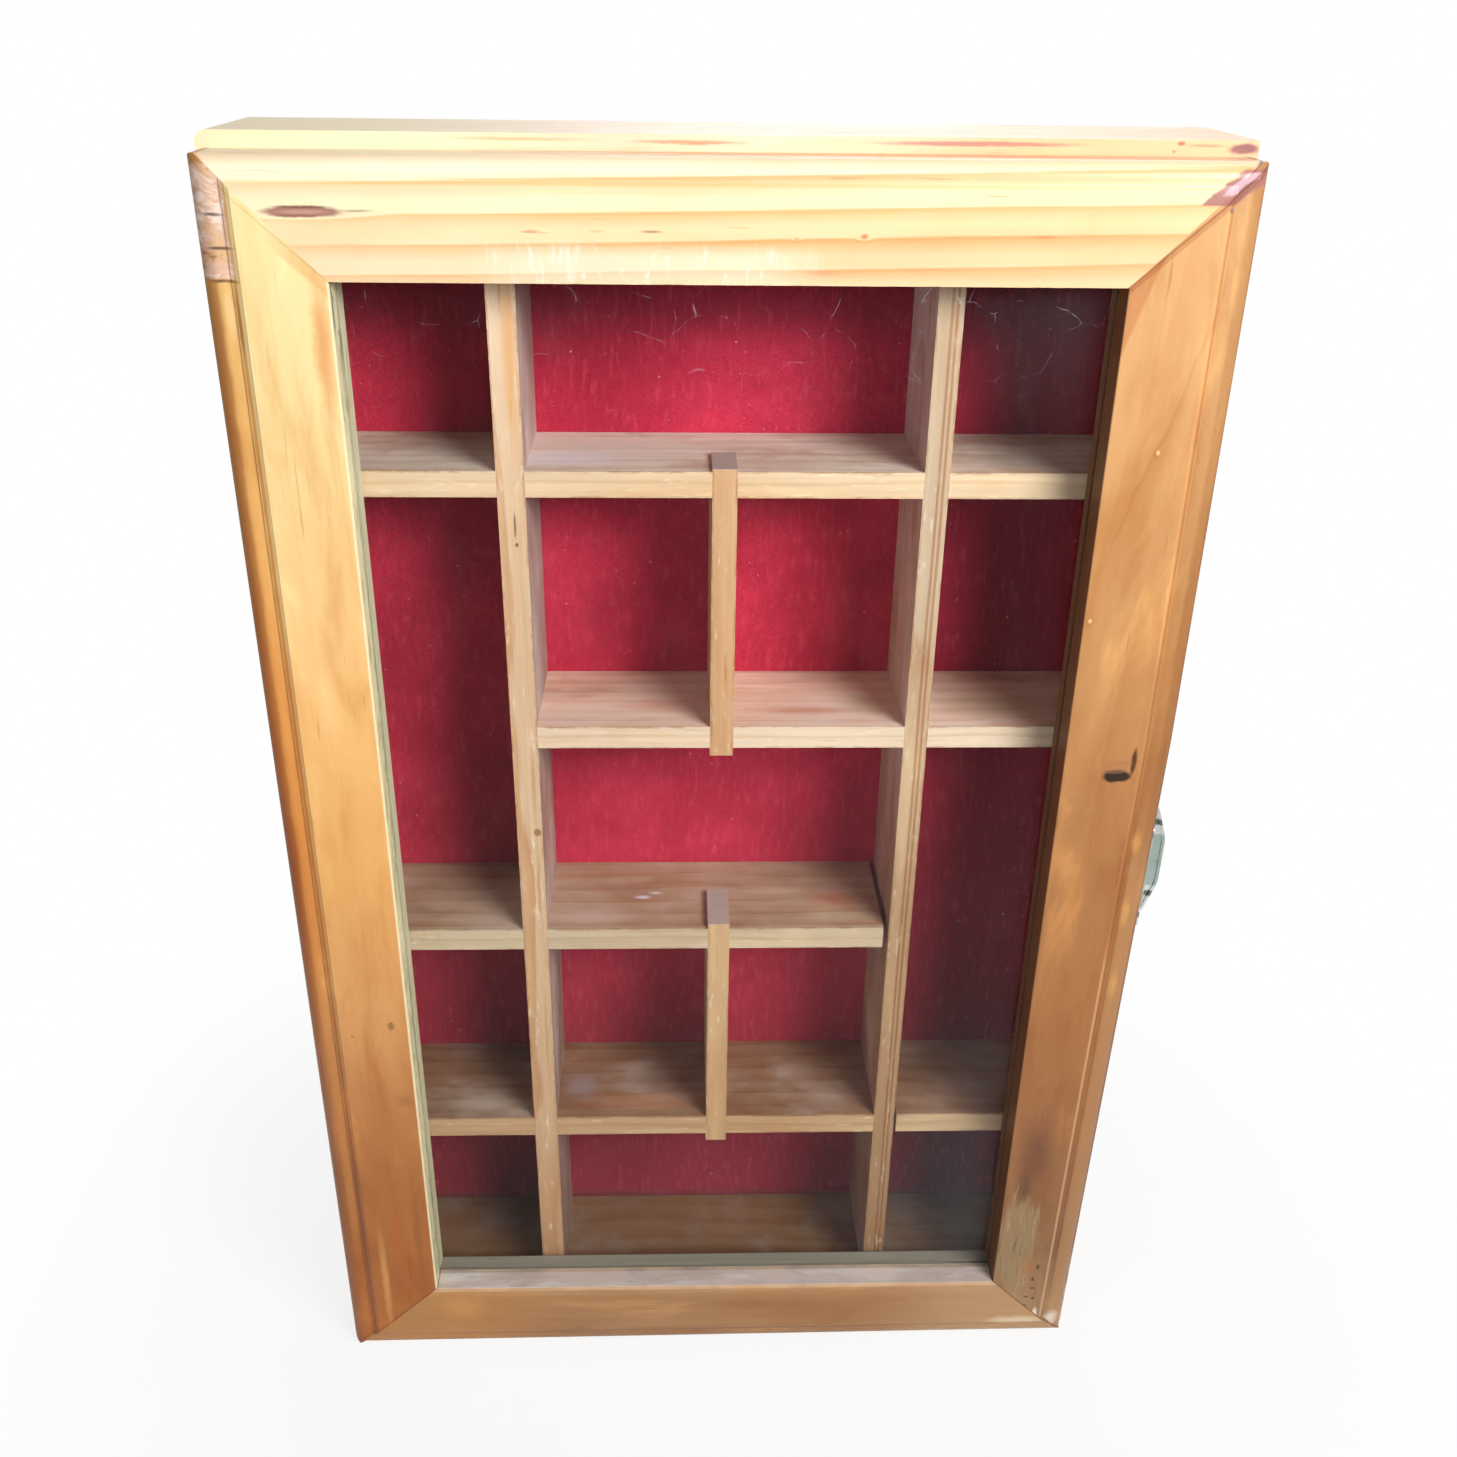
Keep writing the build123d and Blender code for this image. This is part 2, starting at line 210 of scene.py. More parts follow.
    def beyond(self, start, end):
        """Signed distance in mm from the line through two points (x, z), positive on its left."""
        place = self.split(self.point)
        run, rise = end[0] - start[0], end[1] - start[1]
        length = math.hypot(run, rise)
        side_x, side_z = -rise / length, run / length
        offset = -(side_x * start[0] + side_z * start[1])
        return self.plus(self.times(place[0], side_x / MM), self.times(place[2], side_z / MM),
                         offset)

    def bump(self, height, strength, distance):
        return self.node("ShaderNodeBump", Height=height, Strength=strength,
                         Distance=distance).outputs[0]

    def finish(self, colour, normal, roughness, **plain):
        for name, value in (("Base Color", colour), ("Normal", normal), ("Roughness", roughness)):
            if value is not None:
                self.put(self.shader.inputs[name], value)
        for name, value in plain.items():
            self.shader.inputs[name.replace("_", " ")].default_value = value
        return self.material


def paint(node, material):
    mesh = NODES[node].data
    mesh.materials.clear()
    mesh.materials.append(material)


ARRIS_SEGMENTS = 2
ARRIS_ANGLE = 40.0


def soften(names, width):
    """Rounds the arrises of CAD nodes by a modifier, with the width in mm."""
    for name in names:
        edge = NODES[name].modifiers.new("arris", "BEVEL")
        edge.width = width * MM
        edge.segments = ARRIS_SEGMENTS
        edge.limit_method = "ANGLE"
        edge.angle_limit = math.radians(ARRIS_ANGLE)
        edge.harden_normals = False


# ------------------------ pine
WHITE = (1, 1, 1, 1)
UMBER = (70, 32, 18)
PLUM = (98, 52, 48)
SOOT = (26, 18, 20)
CHALK = (244, 236, 222)
RUST = (190, 108, 60)

# The scales of the noise in pine, along the grain, across it and into the board.
SWAY_SCALE = (5, 16, 16)
FIBRE_SCALE = (12, 420, 420)
PATCH_SCALE = (3, 9, 9)
VEIL_SCALE = (14, 46, 46)
FLECK_SCALE = (45, 900, 900)
# How far fibres feather the rings, in mm; the scale of the noise that frays a knot's edge; and,
# as shares of a knot's size, how deep it frays and how far out the rings part round it.
FEATHER = 1.1
KNOT_NOISE = 260
KNOT_FRAY = 0.35
KNOT_REACH = 2.2
# One year's ring, from its pale early wood to its dark late wood, as (place, darkness).
RING = [(0.0, 0.05), (0.40, 0.10), (0.80, 0.70), (0.93, 1.0), (1.0, 0.08)]
BLOTCH_TINT = (0.94, 0.80, 0.66, 1)
FIBRE_TINT = (0.3, 0.24, 0.18, 1)
VEIL_TINT = (0.80, 0.66, 0.50, 1)
SHEEN_TINT = (0.98, 0.92, 0.80, 1)
FLECK_TINT = (0.62, 0.46, 0.34, 1)


class Pine(Tree):
    """Sawn pine. The growth rings are circles round a heart at (across, behind) in mm, so a
    near heart gives wide arched figure and a far one gives straight lines. tones are
    (height in mm, colour in 0-255) stops: the boards darken towards their feet, partly in
    their own colour and partly as painted shade where less light falls."""

    def __init__(self, name, grain, tones, heart, spacing, seed, figure=0.8, tilt=0.0,
                 late=(0.88, 0.70, 0.55), fibre=0.12, stain=0.3, drift=22.0, cloud=0.0):
        super().__init__(name)
        self.x, self.y, self.z = self.split(self.point)[:3]
        along, across = (self.x, self.z) if grain == "X" else (self.z, self.x)
        # The point in the board's own frame: along the grain, across it and into the board.
        self.local = self.join(along, across, self.y)
        slow = self.scaled(self.local, SWAY_SCALE, (seed * 1.7, seed * 0.9, seed))
        sway = self.push(self.noise(slow), drift * MM)
        side = self.plus(self.math("SUBTRACT", across, heart[0] * MM), sway,
                         self.times(along, tilt))
        behind = self.math("SUBTRACT", self.y, heart[1] * MM)
        self.radius = self.math("SQRT", self.plus(self.times(side, side),
                                                  self.times(behind, behind)))
        self.seed = seed
        self.spacing = spacing * MM
        self.figure = figure
        self.late = (*late, 1.0)
        self.fibre = fibre
        self.stain = stain
        self.cloud = cloud
        height = self.math("DIVIDE", self.z, CASE_HIGH * MM)
        self.base = self.ramp(height, [(stop / CASE_HIGH, srgb(*tone)) for stop, tone in tones])
        self.overlays = []

    def knot(self, centre, radii, tint, amount, soft, part=0.0):
        """A stain, or a knot where part, in mm, is how far it pushes the rings aside."""
        ragged = self.wobbled(self.point, KNOT_NOISE, min(radii) * KNOT_FRAY * MM, 3.0)
        here = self.spot(centre, radii, soft, ragged)
        if part:
            wide = [radius * KNOT_REACH for radius in radii]
            near = self.spot(centre, wide, 1.0, self.point)
            self.radius = self.plus(self.radius, self.times(near, part * MM))
        self.tint(here, tint, amount)

    def tint(self, mask, colour, amount):
        """Covers with a colour, in 0-255 display values, where the mask is 1."""
        self.overlays.append((mask, amount, srgb(*colour), "MIX"))

    def shade(self, mask, share, amount=1.0):
        """Multiplies by a share of red, green and blue where the mask is 1."""
        self.overlays.append((mask, amount, (*share, 1.0), "MULTIPLY"))

    def mottle(self, colour):
        """Clouds the colour darker and paler, as old varnish is."""
        veil = self.scaled(self.local, VEIL_SCALE, (self.seed, self.seed, 0))
        mottled = self.noise(self.wobbled(veil, 0.6, 0.8), 1.0, 4.0, 0.62)
        darker = self.times(self.span(mottled, 0.54, 0.30), self.cloud)
        paler = self.times(self.span(mottled, 0.52, 0.74), self.cloud)
        colour = self.mix(darker, colour, VEIL_TINT, "MULTIPLY")
        return self.mix(paler, colour, SHEEN_TINT, "SOFT_LIGHT")

    def done(self, rough, coat=0.0, relief=0.25):
        """Joins figure, stains and wear into the finished wood."""
        seed = self.seed
        streak = self.drawn(self.local, FIBRE_SCALE, 3.0, 0.6, (seed, 0, seed))
        turn = self.math("DIVIDE", self.plus(self.radius, self.push(streak, FEATHER * MM)),
                         self.spacing)
        late = self.ramp(self.math("FRACT", turn),
                         [(place, (dark, dark, dark, 1)) for place, dark in RING])
        patch = self.scaled(self.local, PATCH_SCALE, (seed * 3.1, seed, 0))
        uneven = self.span(self.noise(patch), 0.3, 0.7, 0.25, 1.0)
        colour = self.mix(self.times(late, uneven, self.figure), self.base, self.late, "MULTIPLY")
        blotch = self.span(self.noise(patch, 2.3, 3.0, 0.6), 0.42, 0.75)
        colour = self.mix(self.times(blotch, self.stain), colour, BLOTCH_TINT, "MULTIPLY")
        dark_fibre = self.ramp(streak, [(0.3, FIBRE_TINT), (0.7, WHITE)])
        colour = self.mix(self.fibre, colour, dark_fibre, "MULTIPLY")
        if self.cloud:
            colour = self.mottle(colour)
        fleck = self.noise(self.scaled(self.local, FLECK_SCALE, (0, seed, 0)), 1.0, 1.0)
        colour = self.mix(self.span(fleck, 0.70, 0.80, 0.0, 0.5), colour, FLECK_TINT, "MULTIPLY")
        for mask, share, overlay, blend in self.overlays:
            colour = self.mix(self.times(mask, share), colour, overlay, blend)
        height = self.plus(self.times(streak, 0.6), self.times(late, -0.35))
        gloss = self.span(streak, 0.3, 0.7, rough - 0.06, rough + 0.08)
        return self.finish(colour, self.bump(height, relief, 0.0004), gloss, Coat_Weight=coat,
                           Coat_Roughness=0.3, Specular_IOR_Level=0.3)


# ------------------------ door frame
# Tones by height: the stiles darken towards their feet partly in their own colour and partly as
# painted shade where less light falls. The right stile is painted darker all the way up as
# painted shade, and the top rail's near-white tones are partly painted light.
LEFT_TONES = [(25, (170, 102, 46)), (95, (167, 105, 52)), (125, (180, 117, 66)),
              (170, (209, 150, 92)), (240, (228, 172, 104)), (300, (240, 190, 124)),
              (445, (250, 230, 172))]
RIGHT_TONES = [(25, (160, 124, 92)), (55, (138, 98, 64)), (120, (146, 97, 58)),
               (170, (160, 108, 64)), (240, (162, 112, 68)), (300, (178, 131, 84)),
               (380, (193, 145, 95)), (450, (202, 154, 103))]
TOP_TONES = [(430, (250, 236, 196)), (447, (252, 240, 190)), (470, (253, 247, 228))]
BOTTOM_TONES = [(4, (162, 126, 94)), (12, (166, 125, 88)), (30, (163, 121, 80)),
                (37, (190, 150, 108))]

MARK_DEEP = 6.0
MITRE_LINE = 0.16
MITRE_SOFT = 0.25
SMEAR_SOFT = 0.8


class DoorPine(Pine):
    """One member of the door frame, told which corners its outer edge runs through."""

    def __init__(self, name, corners, quirk, **how):
        super().__init__(name, **how)
        sides = [self.beyond(a, b) for a, b in zip(corners, corners[1:])]
        self.inset = sides[0]
        for other in sides[1:]:
            self.inset = self.math("MINIMUM", self.inset, other)
        self.quirk = quirk

    def moulding(self, outer, inner, groove, width, where=1.0):
        """Darkens the outer bead in two steps and draws the dark line in the quirk: dirt there,
        and painted shade in the groove.
        """
        ragged = self.plus(self.inset, self.push(self.noise(self.point, 90, 3.0), 1.6))
        bead = self.span(ragged, self.quirk + 0.2, self.quirk - 1.2)
        self.shade(self.times(bead, where), inner)
        skirt = self.span(ragged, self.quirk - 4.2, self.quirk - 6.0)
        self.shade(self.times(skirt, where), outer)
        line = self.band(self.inset, self.quirk - width, self.quirk + width, 0.4)
        self.shade(line, groove)

    def mitre(self, sight, corner, amount=0.75):
        """The fine dark line where a mitre closes."""
        distance = self.math("ABSOLUTE", self.beyond(sight, corner))
        line = self.span(distance, MITRE_LINE + MITRE_SOFT, MITRE_LINE)
        self.shade(line, (0.35, 0.22, 0.14), amount)

    def mark(self, x, z, wide, high, tint, amount, soft, part=0.0):
        """A knot or stain on the door's front, by its middle and half sizes in mm."""
        self.knot((x, DOOR_FRONT, z), (wide, MARK_DEEP, high), tint, amount, soft, part)

    def smear(self, foot, head, wide, tint, amount):
        """A stain drawn between two points (x, z), with its half width in mm."""
        ragged = self.push(self.noise(self.point, 240, 3.0), 3.0)
        across = self.band(self.plus(self.beyond(foot, head), ragged), -wide, wide, SMEAR_SOFT)
        along = self.within(self.z, foot[1], head[1], SMEAR_SOFT)
        self.tint(self.times(across, along), tint, amount)


# The knot in the upper right mitre, and its pale core, as lines from (x, z) to (x, z).
KNOT_FOOT = (135.6, 456.8)
KNOT_HEAD = (146.6, 465.4)
CORE_FOOT = (138.8, 459.4)
CORE_HEAD = (145.6, 464.6)
# The faint line of grain on the right stile, and the edge of the painted shade on a facet by its
# mitre.
LINE_FOOT = (124.2, 373.0)
LINE_HEAD = (135.5, 411.8)
FACET_FOOT = (113.0, 411.0)
FACET_HEAD = (123.0, 442.0)
SIGHT_TL = (-SIGHT_SIDE, SIGHT_HIGH)
SIGHT_TR = (SIGHT_SIDE, SIGHT_HIGH)
SIGHT_BL = (-SIGHT_SIDE, SIGHT_LOW)
SIGHT_BR = (SIGHT_SIDE, SIGHT_LOW)


def top_rail():
    board = DoorPine("door_pine_top", [HEAD_RIGHT, HEAD_LEFT], TOP_QUIRK, grain="X",
                     tones=TOP_TONES, heart=(330, 20), spacing=6.99, seed=3.0, figure=1.2,
                     tilt=-0.020, late=(1.0, 0.60, 0.40), drift=2.6, fibre=0.05, cloud=0.22)
    board.moulding((1.0, 0.98, 0.92), (1.0, 0.99, 0.97), (0.98, 0.88, 0.74), 0.3)
    # Painted light: the rail is shaded warmer and darker towards the right, so its left end reads
    # as brightly lit; then its lower half is tinted peach.
    board.shade(board.over(board.x, -110, 90, smooth=False), (1.0, 0.75, 0.66))
    board.shade(board.over(board.z, 456, 446), (1.0, 0.88, 0.94))
    # The long knot at the left, from its dark rim to the streaks that run out of it.
    board.mark(-119, 452.7, 13.5, 2.0, (140, 84, 78), 0.9, 0.4, 2.2)
    board.mark(-119, 452.6, 11.5, 1.2, (200, 156, 142), 0.75, 0.8)
    board.mark(-119, 454.0, 11, 0.5, PLUM, 0.6, 0.6)
    board.mark(-121, 451.6, 9, 0.6, (150, 96, 82), 0.6, 0.6)
    board.mark(-104, 453.0, 6, 0.5, UMBER, 0.5, 0.8)
    # Short flecks and two pin knots along the middle of the board, and one grey smudge.
    board.mark(-56.5, 448, 4.0, 0.6, RUST, 0.55, 0.8)
    board.mark(-22.8, 448.2, 4.5, 0.6, PLUM, 0.6, 0.8)
    board.mark(-38, 448.2, 3, 0.6, RUST, 0.3, 0.9)
    board.mark(18, 446.5, 1.1, 0.8, RUST, 0.5, 0.8, 0.6)
    board.mark(37, 447.4, 1.5, 1.1, RUST, 0.8, 0.7, 0.9)
    board.mark(88, 447.6, 5, 0.7, RUST, 0.45, 0.9)
    board.mark(26, 437.5, 7, 1.2, (150, 132, 106), 0.45, 0.8)
    board.smear(KNOT_FOOT, KNOT_HEAD, 2.3, (150, 98, 96), 0.9)
    board.smear(CORE_FOOT, CORE_HEAD, 0.9, (204, 172, 184), 0.75)
    # Varnish worn to a chalky white on the lower half, left of the middle.
    worn = board.drawn(board.wobbled(board.point, 50, 0.004), (330, 60, 85), 3.0, 0.75)
    faded = board.times(board.within(board.z, 435, 441, 5), board.within(board.x, -55, 5, 25))
    board.tint(faded, (250, 228, 206), 0.45)
    board.tint(board.times(faded, board.span(worn, 0.52, 0.66)), CHALK, 0.7)
    # Dirt along the sight edge, and dirt with painted shade just under it.
    dirt = board.drawn(board.point, (90, 90, 260))
    edge = board.over(board.z, 436.5, 433.8)
    board.tint(board.times(edge, board.span(dirt, 0.35, 0.60)), (206, 196, 150), 0.65)
    under = board.over(board.z, SIGHT_HIGH + 0.25, SIGHT_HIGH + 0.05)
    board.tint(board.times(under, board.span(dirt, 0.5, 0.64)), (110, 104, 70), 0.7)
    board.mitre(SIGHT_TL, HEAD_LEFT, 0.2)
    board.mitre(SIGHT_TR, HEAD_RIGHT)
    return board.done(0.38, 0.12)


def bottom_rail():
    board = DoorPine("door_pine_bottom", [FOOT_LEFT, FOOT_RIGHT], BOTTOM_QUIRK, grain="X",
                     tones=BOTTOM_TONES, heart=(-60, 20), spacing=5.2, seed=8.0, figure=0.8,
                     stain=0.5, fibre=0.12, cloud=0.6)
    board.moulding((0.88, 0.82, 0.76), (0.96, 0.93, 0.90), (0.74, 0.62, 0.50), 0.35)
    board.tint(board.over(board.x, -55, -105), (186, 130, 74), 0.55)
    board.tint(board.over(board.x, 60, 105), (186, 148, 110), 0.6)
    # Dust on the ledge under the glass, crusted at its left end, with a painted shadow along the
    # seam behind.
    dusty = board.span(board.drawn(board.point, (60, 140, 60), rough=0.65), 0.34, 0.62, 0.45, 1.0)
    ledge = board.over(board.z, SIGHT_LOW - 0.5, SIGHT_LOW - 0.1)
    board.tint(board.times(ledge, dusty), (184, 190, 204), 0.85)
    crust = board.drawn(board.wobbled(board.point, 60, 0.004), (24, 150, 60))
    corner = board.over(board.x, -80, -108, 0.5, 1.0)
    board.tint(board.times(ledge, board.span(crust, 0.46, 0.60), corner), (236, 230, 226), 0.9)
    board.shade(ledge, (0.88, 1.04, 1.22))
    painted_seam_shadow = board.over(board.y, -36.6, -35.4)
    board.tint(board.times(ledge, painted_seam_shadow), (104, 106, 100), 0.8)
    # Rubbed arrises: the sight edge, and the foot towards the right.
    rubbed = board.times(board.within(board.z, 35.4, 37, 0.8), dusty)
    board.tint(rubbed, (214, 180, 146), 0.7)
    foot = board.times(board.span(board.inset, 5.0, 1.0), board.over(board.x, 20, 120))
    board.tint(board.times(foot, dusty), (214, 198, 178), 0.7)
    board.mark(-104, 26, 14, 9, (206, 150, 90), 0.5, 0.9)
    board.mark(126, 14, 18, 4, (224, 204, 172), 0.7, 0.8)
    for x, wide in ((-62, 5), (-8, 8), (22, 3), (70, 6)):
        board.mark(x, 8.2, wide, 0.8, UMBER, 0.35, 0.9)
    board.mitre(SIGHT_BL, FOOT_LEFT, 0.6)
    board.mitre(SIGHT_BR, FOOT_RIGHT)
    return board.done(0.44, 0.08)


def left_stile():
    board = DoorPine("door_pine_left", [HEAD_LEFT, FOOT_LEFT], STILE_QUIRK, grain="Z",
                     tones=LEFT_TONES, heart=(-190, 30), spacing=11.0, seed=5.0, figure=0.2,
                     tilt=0.02, stain=0.5, fibre=0.03, cloud=0.75)
    upper = board.over(board.z, 110, 230, 0.15, 1.0)
    board.moulding((0.70, 0.52, 0.40), (0.86, 0.66, 0.46), (0.76, 0.50, 0.26), 0.35, upper)
    board.shade(board.band(board.inset, 2.2, 3.2, 1.0), (0.90, 0.76, 0.58), 0.5)
    warm = board.times(board.band(board.inset, 6.0, 8.6, 1.0), board.within(board.z, 85, 150, 40))
    board.tint(warm, (186, 124, 66), 0.6)
    # A scaly strip of bark on the bead at the top, with cracks across it.
    bark = board.times(board.span(board.inset, 11.0, 9.6), board.within(board.z, 435, 464, 1.5))
    scaly = board.drawn(board.wobbled(board.point, 90, 0.004), (110, 110, 230))
    for start, full, tint, amount in ((0.30, 0.52, (224, 184, 160), 0.9),
                                      (0.52, 0.64, (246, 226, 214), 0.8),
                                      (0.42, 0.32, (156, 106, 80), 0.7)):
        board.tint(board.times(bark, board.span(scaly, start, full)), tint, amount)
    for x, z, wide in ((-144.5, 451.5, 5), (-143.8, 442.5, 6), (-143.6, 433.6, 6.5)):
        board.mark(x, z, wide, 0.75, UMBER, 0.85, 0.7)
    board.mark(-149, 457, 2.4, 6, UMBER, 0.45, 0.9)
    # Paler and darker strips below it, and the peach corner under the mitre.
    board.mark(-142.8, 425, 2.2, 11, (246, 198, 138), 0.9, 0.6)
    board.mark(-140.2, 422, 0.9, 14, (150, 96, 52), 0.7, 0.8)
    board.mark(-146.8, 416, 1.4, 20, (172, 108, 54), 0.6, 0.9)
    under_mitre = board.times(board.over(board.x, -134, -120),
                              board.band(board.beyond(HEAD_LEFT, SIGHT_TL), -2.6, -0.2, 1.6))
    board.tint(under_mitre, (228, 166, 98), 0.55)
    board.mark(-117.0, 414, 4.2, 30, (222, 152, 90), 0.75, 0.9)
    # The pin knot with its ring of grain, and the stains of the lower half.
    board.mark(-120.2, 171, 2.0, 2.3, (126, 88, 50), 0.7, 0.7, 1.6)
    board.mark(-120.0, 172.4, 0.8, 0.6, UMBER, 0.6, 0.8)
    board.mark(-118, 136, 5, 4, (120, 70, 40), 0.35, 0.9)
    board.mark(-134.6, 166.5, 0.6, 0.8, UMBER, 0.6, 0.8)
    board.mark(-129, 300, 5, 20, (250, 214, 150), 0.35, 0.9)
    board.mark(-134, 250, 4, 26, (214, 148, 82), 0.3, 0.9)
    board.mark(-123, 215, 6, 16, (214, 150, 86), 0.3, 0.9)
    board.mark(-127, 60, 3.4, 44, (176, 92, 40), 0.45, 0.9)
    board.mark(-134, 42, 2.2, 40, (218, 158, 94), 0.6, 0.9)
    board.mark(-119, 70, 2.4, 40, (132, 72, 34), 0.4, 0.9)
    # The edge towards the glass, painted pale as the side that faces the light, with old putty
    # and dirt behind it.
    sight = board.over(board.x, -SIGHT_SIDE - 0.9, -SIGHT_SIDE - 0.1)
    board.tint(sight, (250, 240, 200), 0.85)
    behind = board.times(sight, board.over(board.y, DOOR_FRONT + 0.9, DOOR_FRONT + 1.7))
    board.tint(behind, (214, 210, 172), 0.8)
    deep = board.times(sight, board.over(board.y, -38, -35))
    board.tint(deep, (150, 152, 132), 0.75)
    putty = board.drawn(board.point, (260, 260, 90))
    board.shade(board.times(behind, board.span(putty, 0.52, 0.40)), (0.62, 0.62, 0.50), 0.8)
    top_sight = board.times(behind, board.over(board.z, 405, 425))
    board.tint(board.times(top_sight, board.span(putty, 0.54, 0.44)), (96, 104, 112), 0.7)
    board.mitre(SIGHT_TL, HEAD_LEFT, 0.2)
    board.mitre(SIGHT_BL, FOOT_LEFT, 0.6)
    return board.done(0.40, 0.12)


def right_stile():
    board = DoorPine("door_pine_right", [FOOT_RIGHT, RIGHT_BEND, HEAD_RIGHT], STILE_QUIRK,
                     grain="Z", tones=RIGHT_TONES, heart=(205, 40), spacing=14.0, seed=11.0,
                     figure=0.3, tilt=-0.12, stain=0.5, fibre=0.03, cloud=0.8)
    board.moulding((0.80, 0.76, 0.72), (0.86, 0.84, 0.82), (0.78, 0.64, 0.50), 0.25)
    # The bead: paler low down, dark at its outer arris, with worn patches by the clasp.
    pale = board.times(board.band(board.inset, 2.6, 7.6, 1.0), board.over(board.z, 290, 215))
    board.tint(pale, (180, 134, 90), 0.55)
    board.shade(board.span(board.inset, 1.8, 0.6), (0.78, 0.60, 0.48), 0.8)
    for z, high in ((247, 7), (218, 9), (186, 9)):
        board.mark(143.6, z, 2.6, high, (214, 160, 88), 0.6, 0.9)
    board.mark(143.4, 235.5, 2.4, 5, (168, 130, 94), 0.6, 0.9)
    # A painted highlight along the quirk, low on the stile.
    lit = board.times(board.band(board.inset, 11.2, 11.9, 0.5), board.over(board.z, 210, 190))
    board.tint(lit, (206, 160, 110), 0.5)
    # The faint line of grain near the top.
    line = board.plus(board.beyond(LINE_FOOT, LINE_HEAD),
                      board.push(board.noise(board.point, 26, 3.0), 14.0))
    board.shade(board.times(board.within(board.z, 372, 420, 30),
                            board.band(line, -0.2, 0.2, 0.7)), (0.80, 0.64, 0.50), 0.35)
    # The knot in the mitre, and the dark one half way down.
    board.smear(KNOT_FOOT, KNOT_HEAD, 3.4, (150, 98, 96), 0.9)
    board.smear(CORE_FOOT, CORE_HEAD, 0.9, (204, 172, 184), 0.75)
    board.mark(140.1, 455, 1.0, 1.0, (110, 100, 110), 0.8, 0.5)
    board.mark(132.3, 274.4, 6.0, 2.7, SOOT, 0.95, 0.35)
    board.mark(131.4, 276.2, 4.6, 1.0, (120, 84, 66), 0.7, 0.5)
    board.mark(137.4, 280, 1.2, 6.4, UMBER, 0.9, 0.5)
    board.mark(133, 279.4, 5.6, 1.4, (150, 104, 70), 0.5, 0.8)
    # The painted shadow under the mitre, and painted shade on a facet between it and the sight
    # edge.
    shadow = board.beyond(SIGHT_TR, HEAD_RIGHT)
    board.shade(board.band(shadow, -1.3, 0.3, 0.3), (0.74, 0.58, 0.46), 0.7)
    painted_facet_shade = board.math("MINIMUM", board.beyond(FACET_FOOT, FACET_HEAD), board.times(shadow, -1.0))
    board.shade(board.span(painted_facet_shade, -0.4, 0.6), (0.80, 0.62, 0.52), 0.75)
    # The weathered patch at the foot: dark, frayed and grey, with small black specks.
    board.mark(124, 106, 10, 27, (104, 62, 44), 0.75, 0.95)
    board.mark(121, 88, 4.4, 12, (76, 52, 44), 0.6, 0.9)
    weathered = board.drawn(board.wobbled(board.point, 60, 0.002), (480, 60, 42), 5.0, 0.75)
    place = board.spot((121, DOOR_FRONT, 58), (17, 8, 50), 1.0, board.point)
    frayed = board.span(board.plus(place, board.push(weathered, 1.3)), 0.34, 0.70)
    patch = board.times(frayed, board.span(place, 0, 0.2))
    board.tint(patch, (148, 126, 92), 0.7)
    board.tint(board.times(patch, board.span(weathered, 0.54, 0.66)), (184, 168, 136), 0.4)
    board.tint(board.times(patch, board.span(weathered, 0.46, 0.38)), (84, 62, 44), 0.6)
    board.mark(127, 44, 5, 12, (168, 106, 58), 0.45, 0.9)
    for x, z, wide, high in ((131.6, 45, 0.9, 2.2), (130.2, 38, 0.7, 1.6), (130.6, 33, 1.6, 0.7),
                             (128.6, 28, 1.4, 0.7), (131.4, 27, 0.8, 1.4), (128, 23, 1.8, 0.6),
                             (131, 19, 1.0, 0.6)):
        board.mark(x, z, wide, high, SOOT, 0.8, 0.7)
    # The rubbed outer arris, and the pale corner at the foot: chalky wear with a painted
    # highlight on it.
    rubbed = board.times(board.span(board.inset, 2.4, 0.8), board.over(board.z, 60, 20))
    flaky = board.span(board.noise(board.point, 320, 4.0, 0.7), 0.42, 0.56)
    board.tint(board.times(rubbed, flaky), (228, 216, 200), 0.7)
    board.mark(133, 17, 1.6, 6, CHALK, 0.7, 0.6)
    board.mark(141, 13, 5, 6, CHALK, 0.7, 0.8)
    # Two small dents, each a painted dark spot with a painted highlight beside it.
    for x, z in ((129.2, 385.4), (115.6, 330.5)):
        board.mark(x, z, 1.8, 2.4, (150, 100, 56), 0.55, 0.8)
        board.mark(x + 0.3, z + 0.4, 0.9, 1.2, (236, 196, 134), 0.8, 0.8)
    # The edge towards the glass, painted dark as the side turned from the light.
    sight = board.over(board.x, SIGHT_SIDE + 0.5, SIGHT_SIDE + 0.1)
    board.tint(sight, (92, 60, 38), 0.85)
    board.mitre(SIGHT_TR, HEAD_RIGHT, 0.5)
    board.mitre(SIGHT_BR, FOOT_RIGHT)
    return board.done(0.42, 0.1)


DOOR_ARRIS = 0.5
DOOR_MEMBERS = {"door_rail_top": top_rail, "door_rail_bottom": bottom_rail,
                "door_stile_left": left_stile, "door_stile_right": right_stile}
for node, member in DOOR_MEMBERS.items():
    paint(node, member())
soften(DOOR_MEMBERS, DOOR_ARRIS)

# ------------------------ case
CASE_ARRIS = 0.7
# Tones by height: darker towards the foot, partly the boards' own colour and partly painted shade
# where less light falls.
CASE_TONES = [(10, (176, 124, 80)), (150, (196, 142, 90)), (300, (222, 172, 112)),
              (440, (236, 196, 140)), (465, (250, 228, 202))]


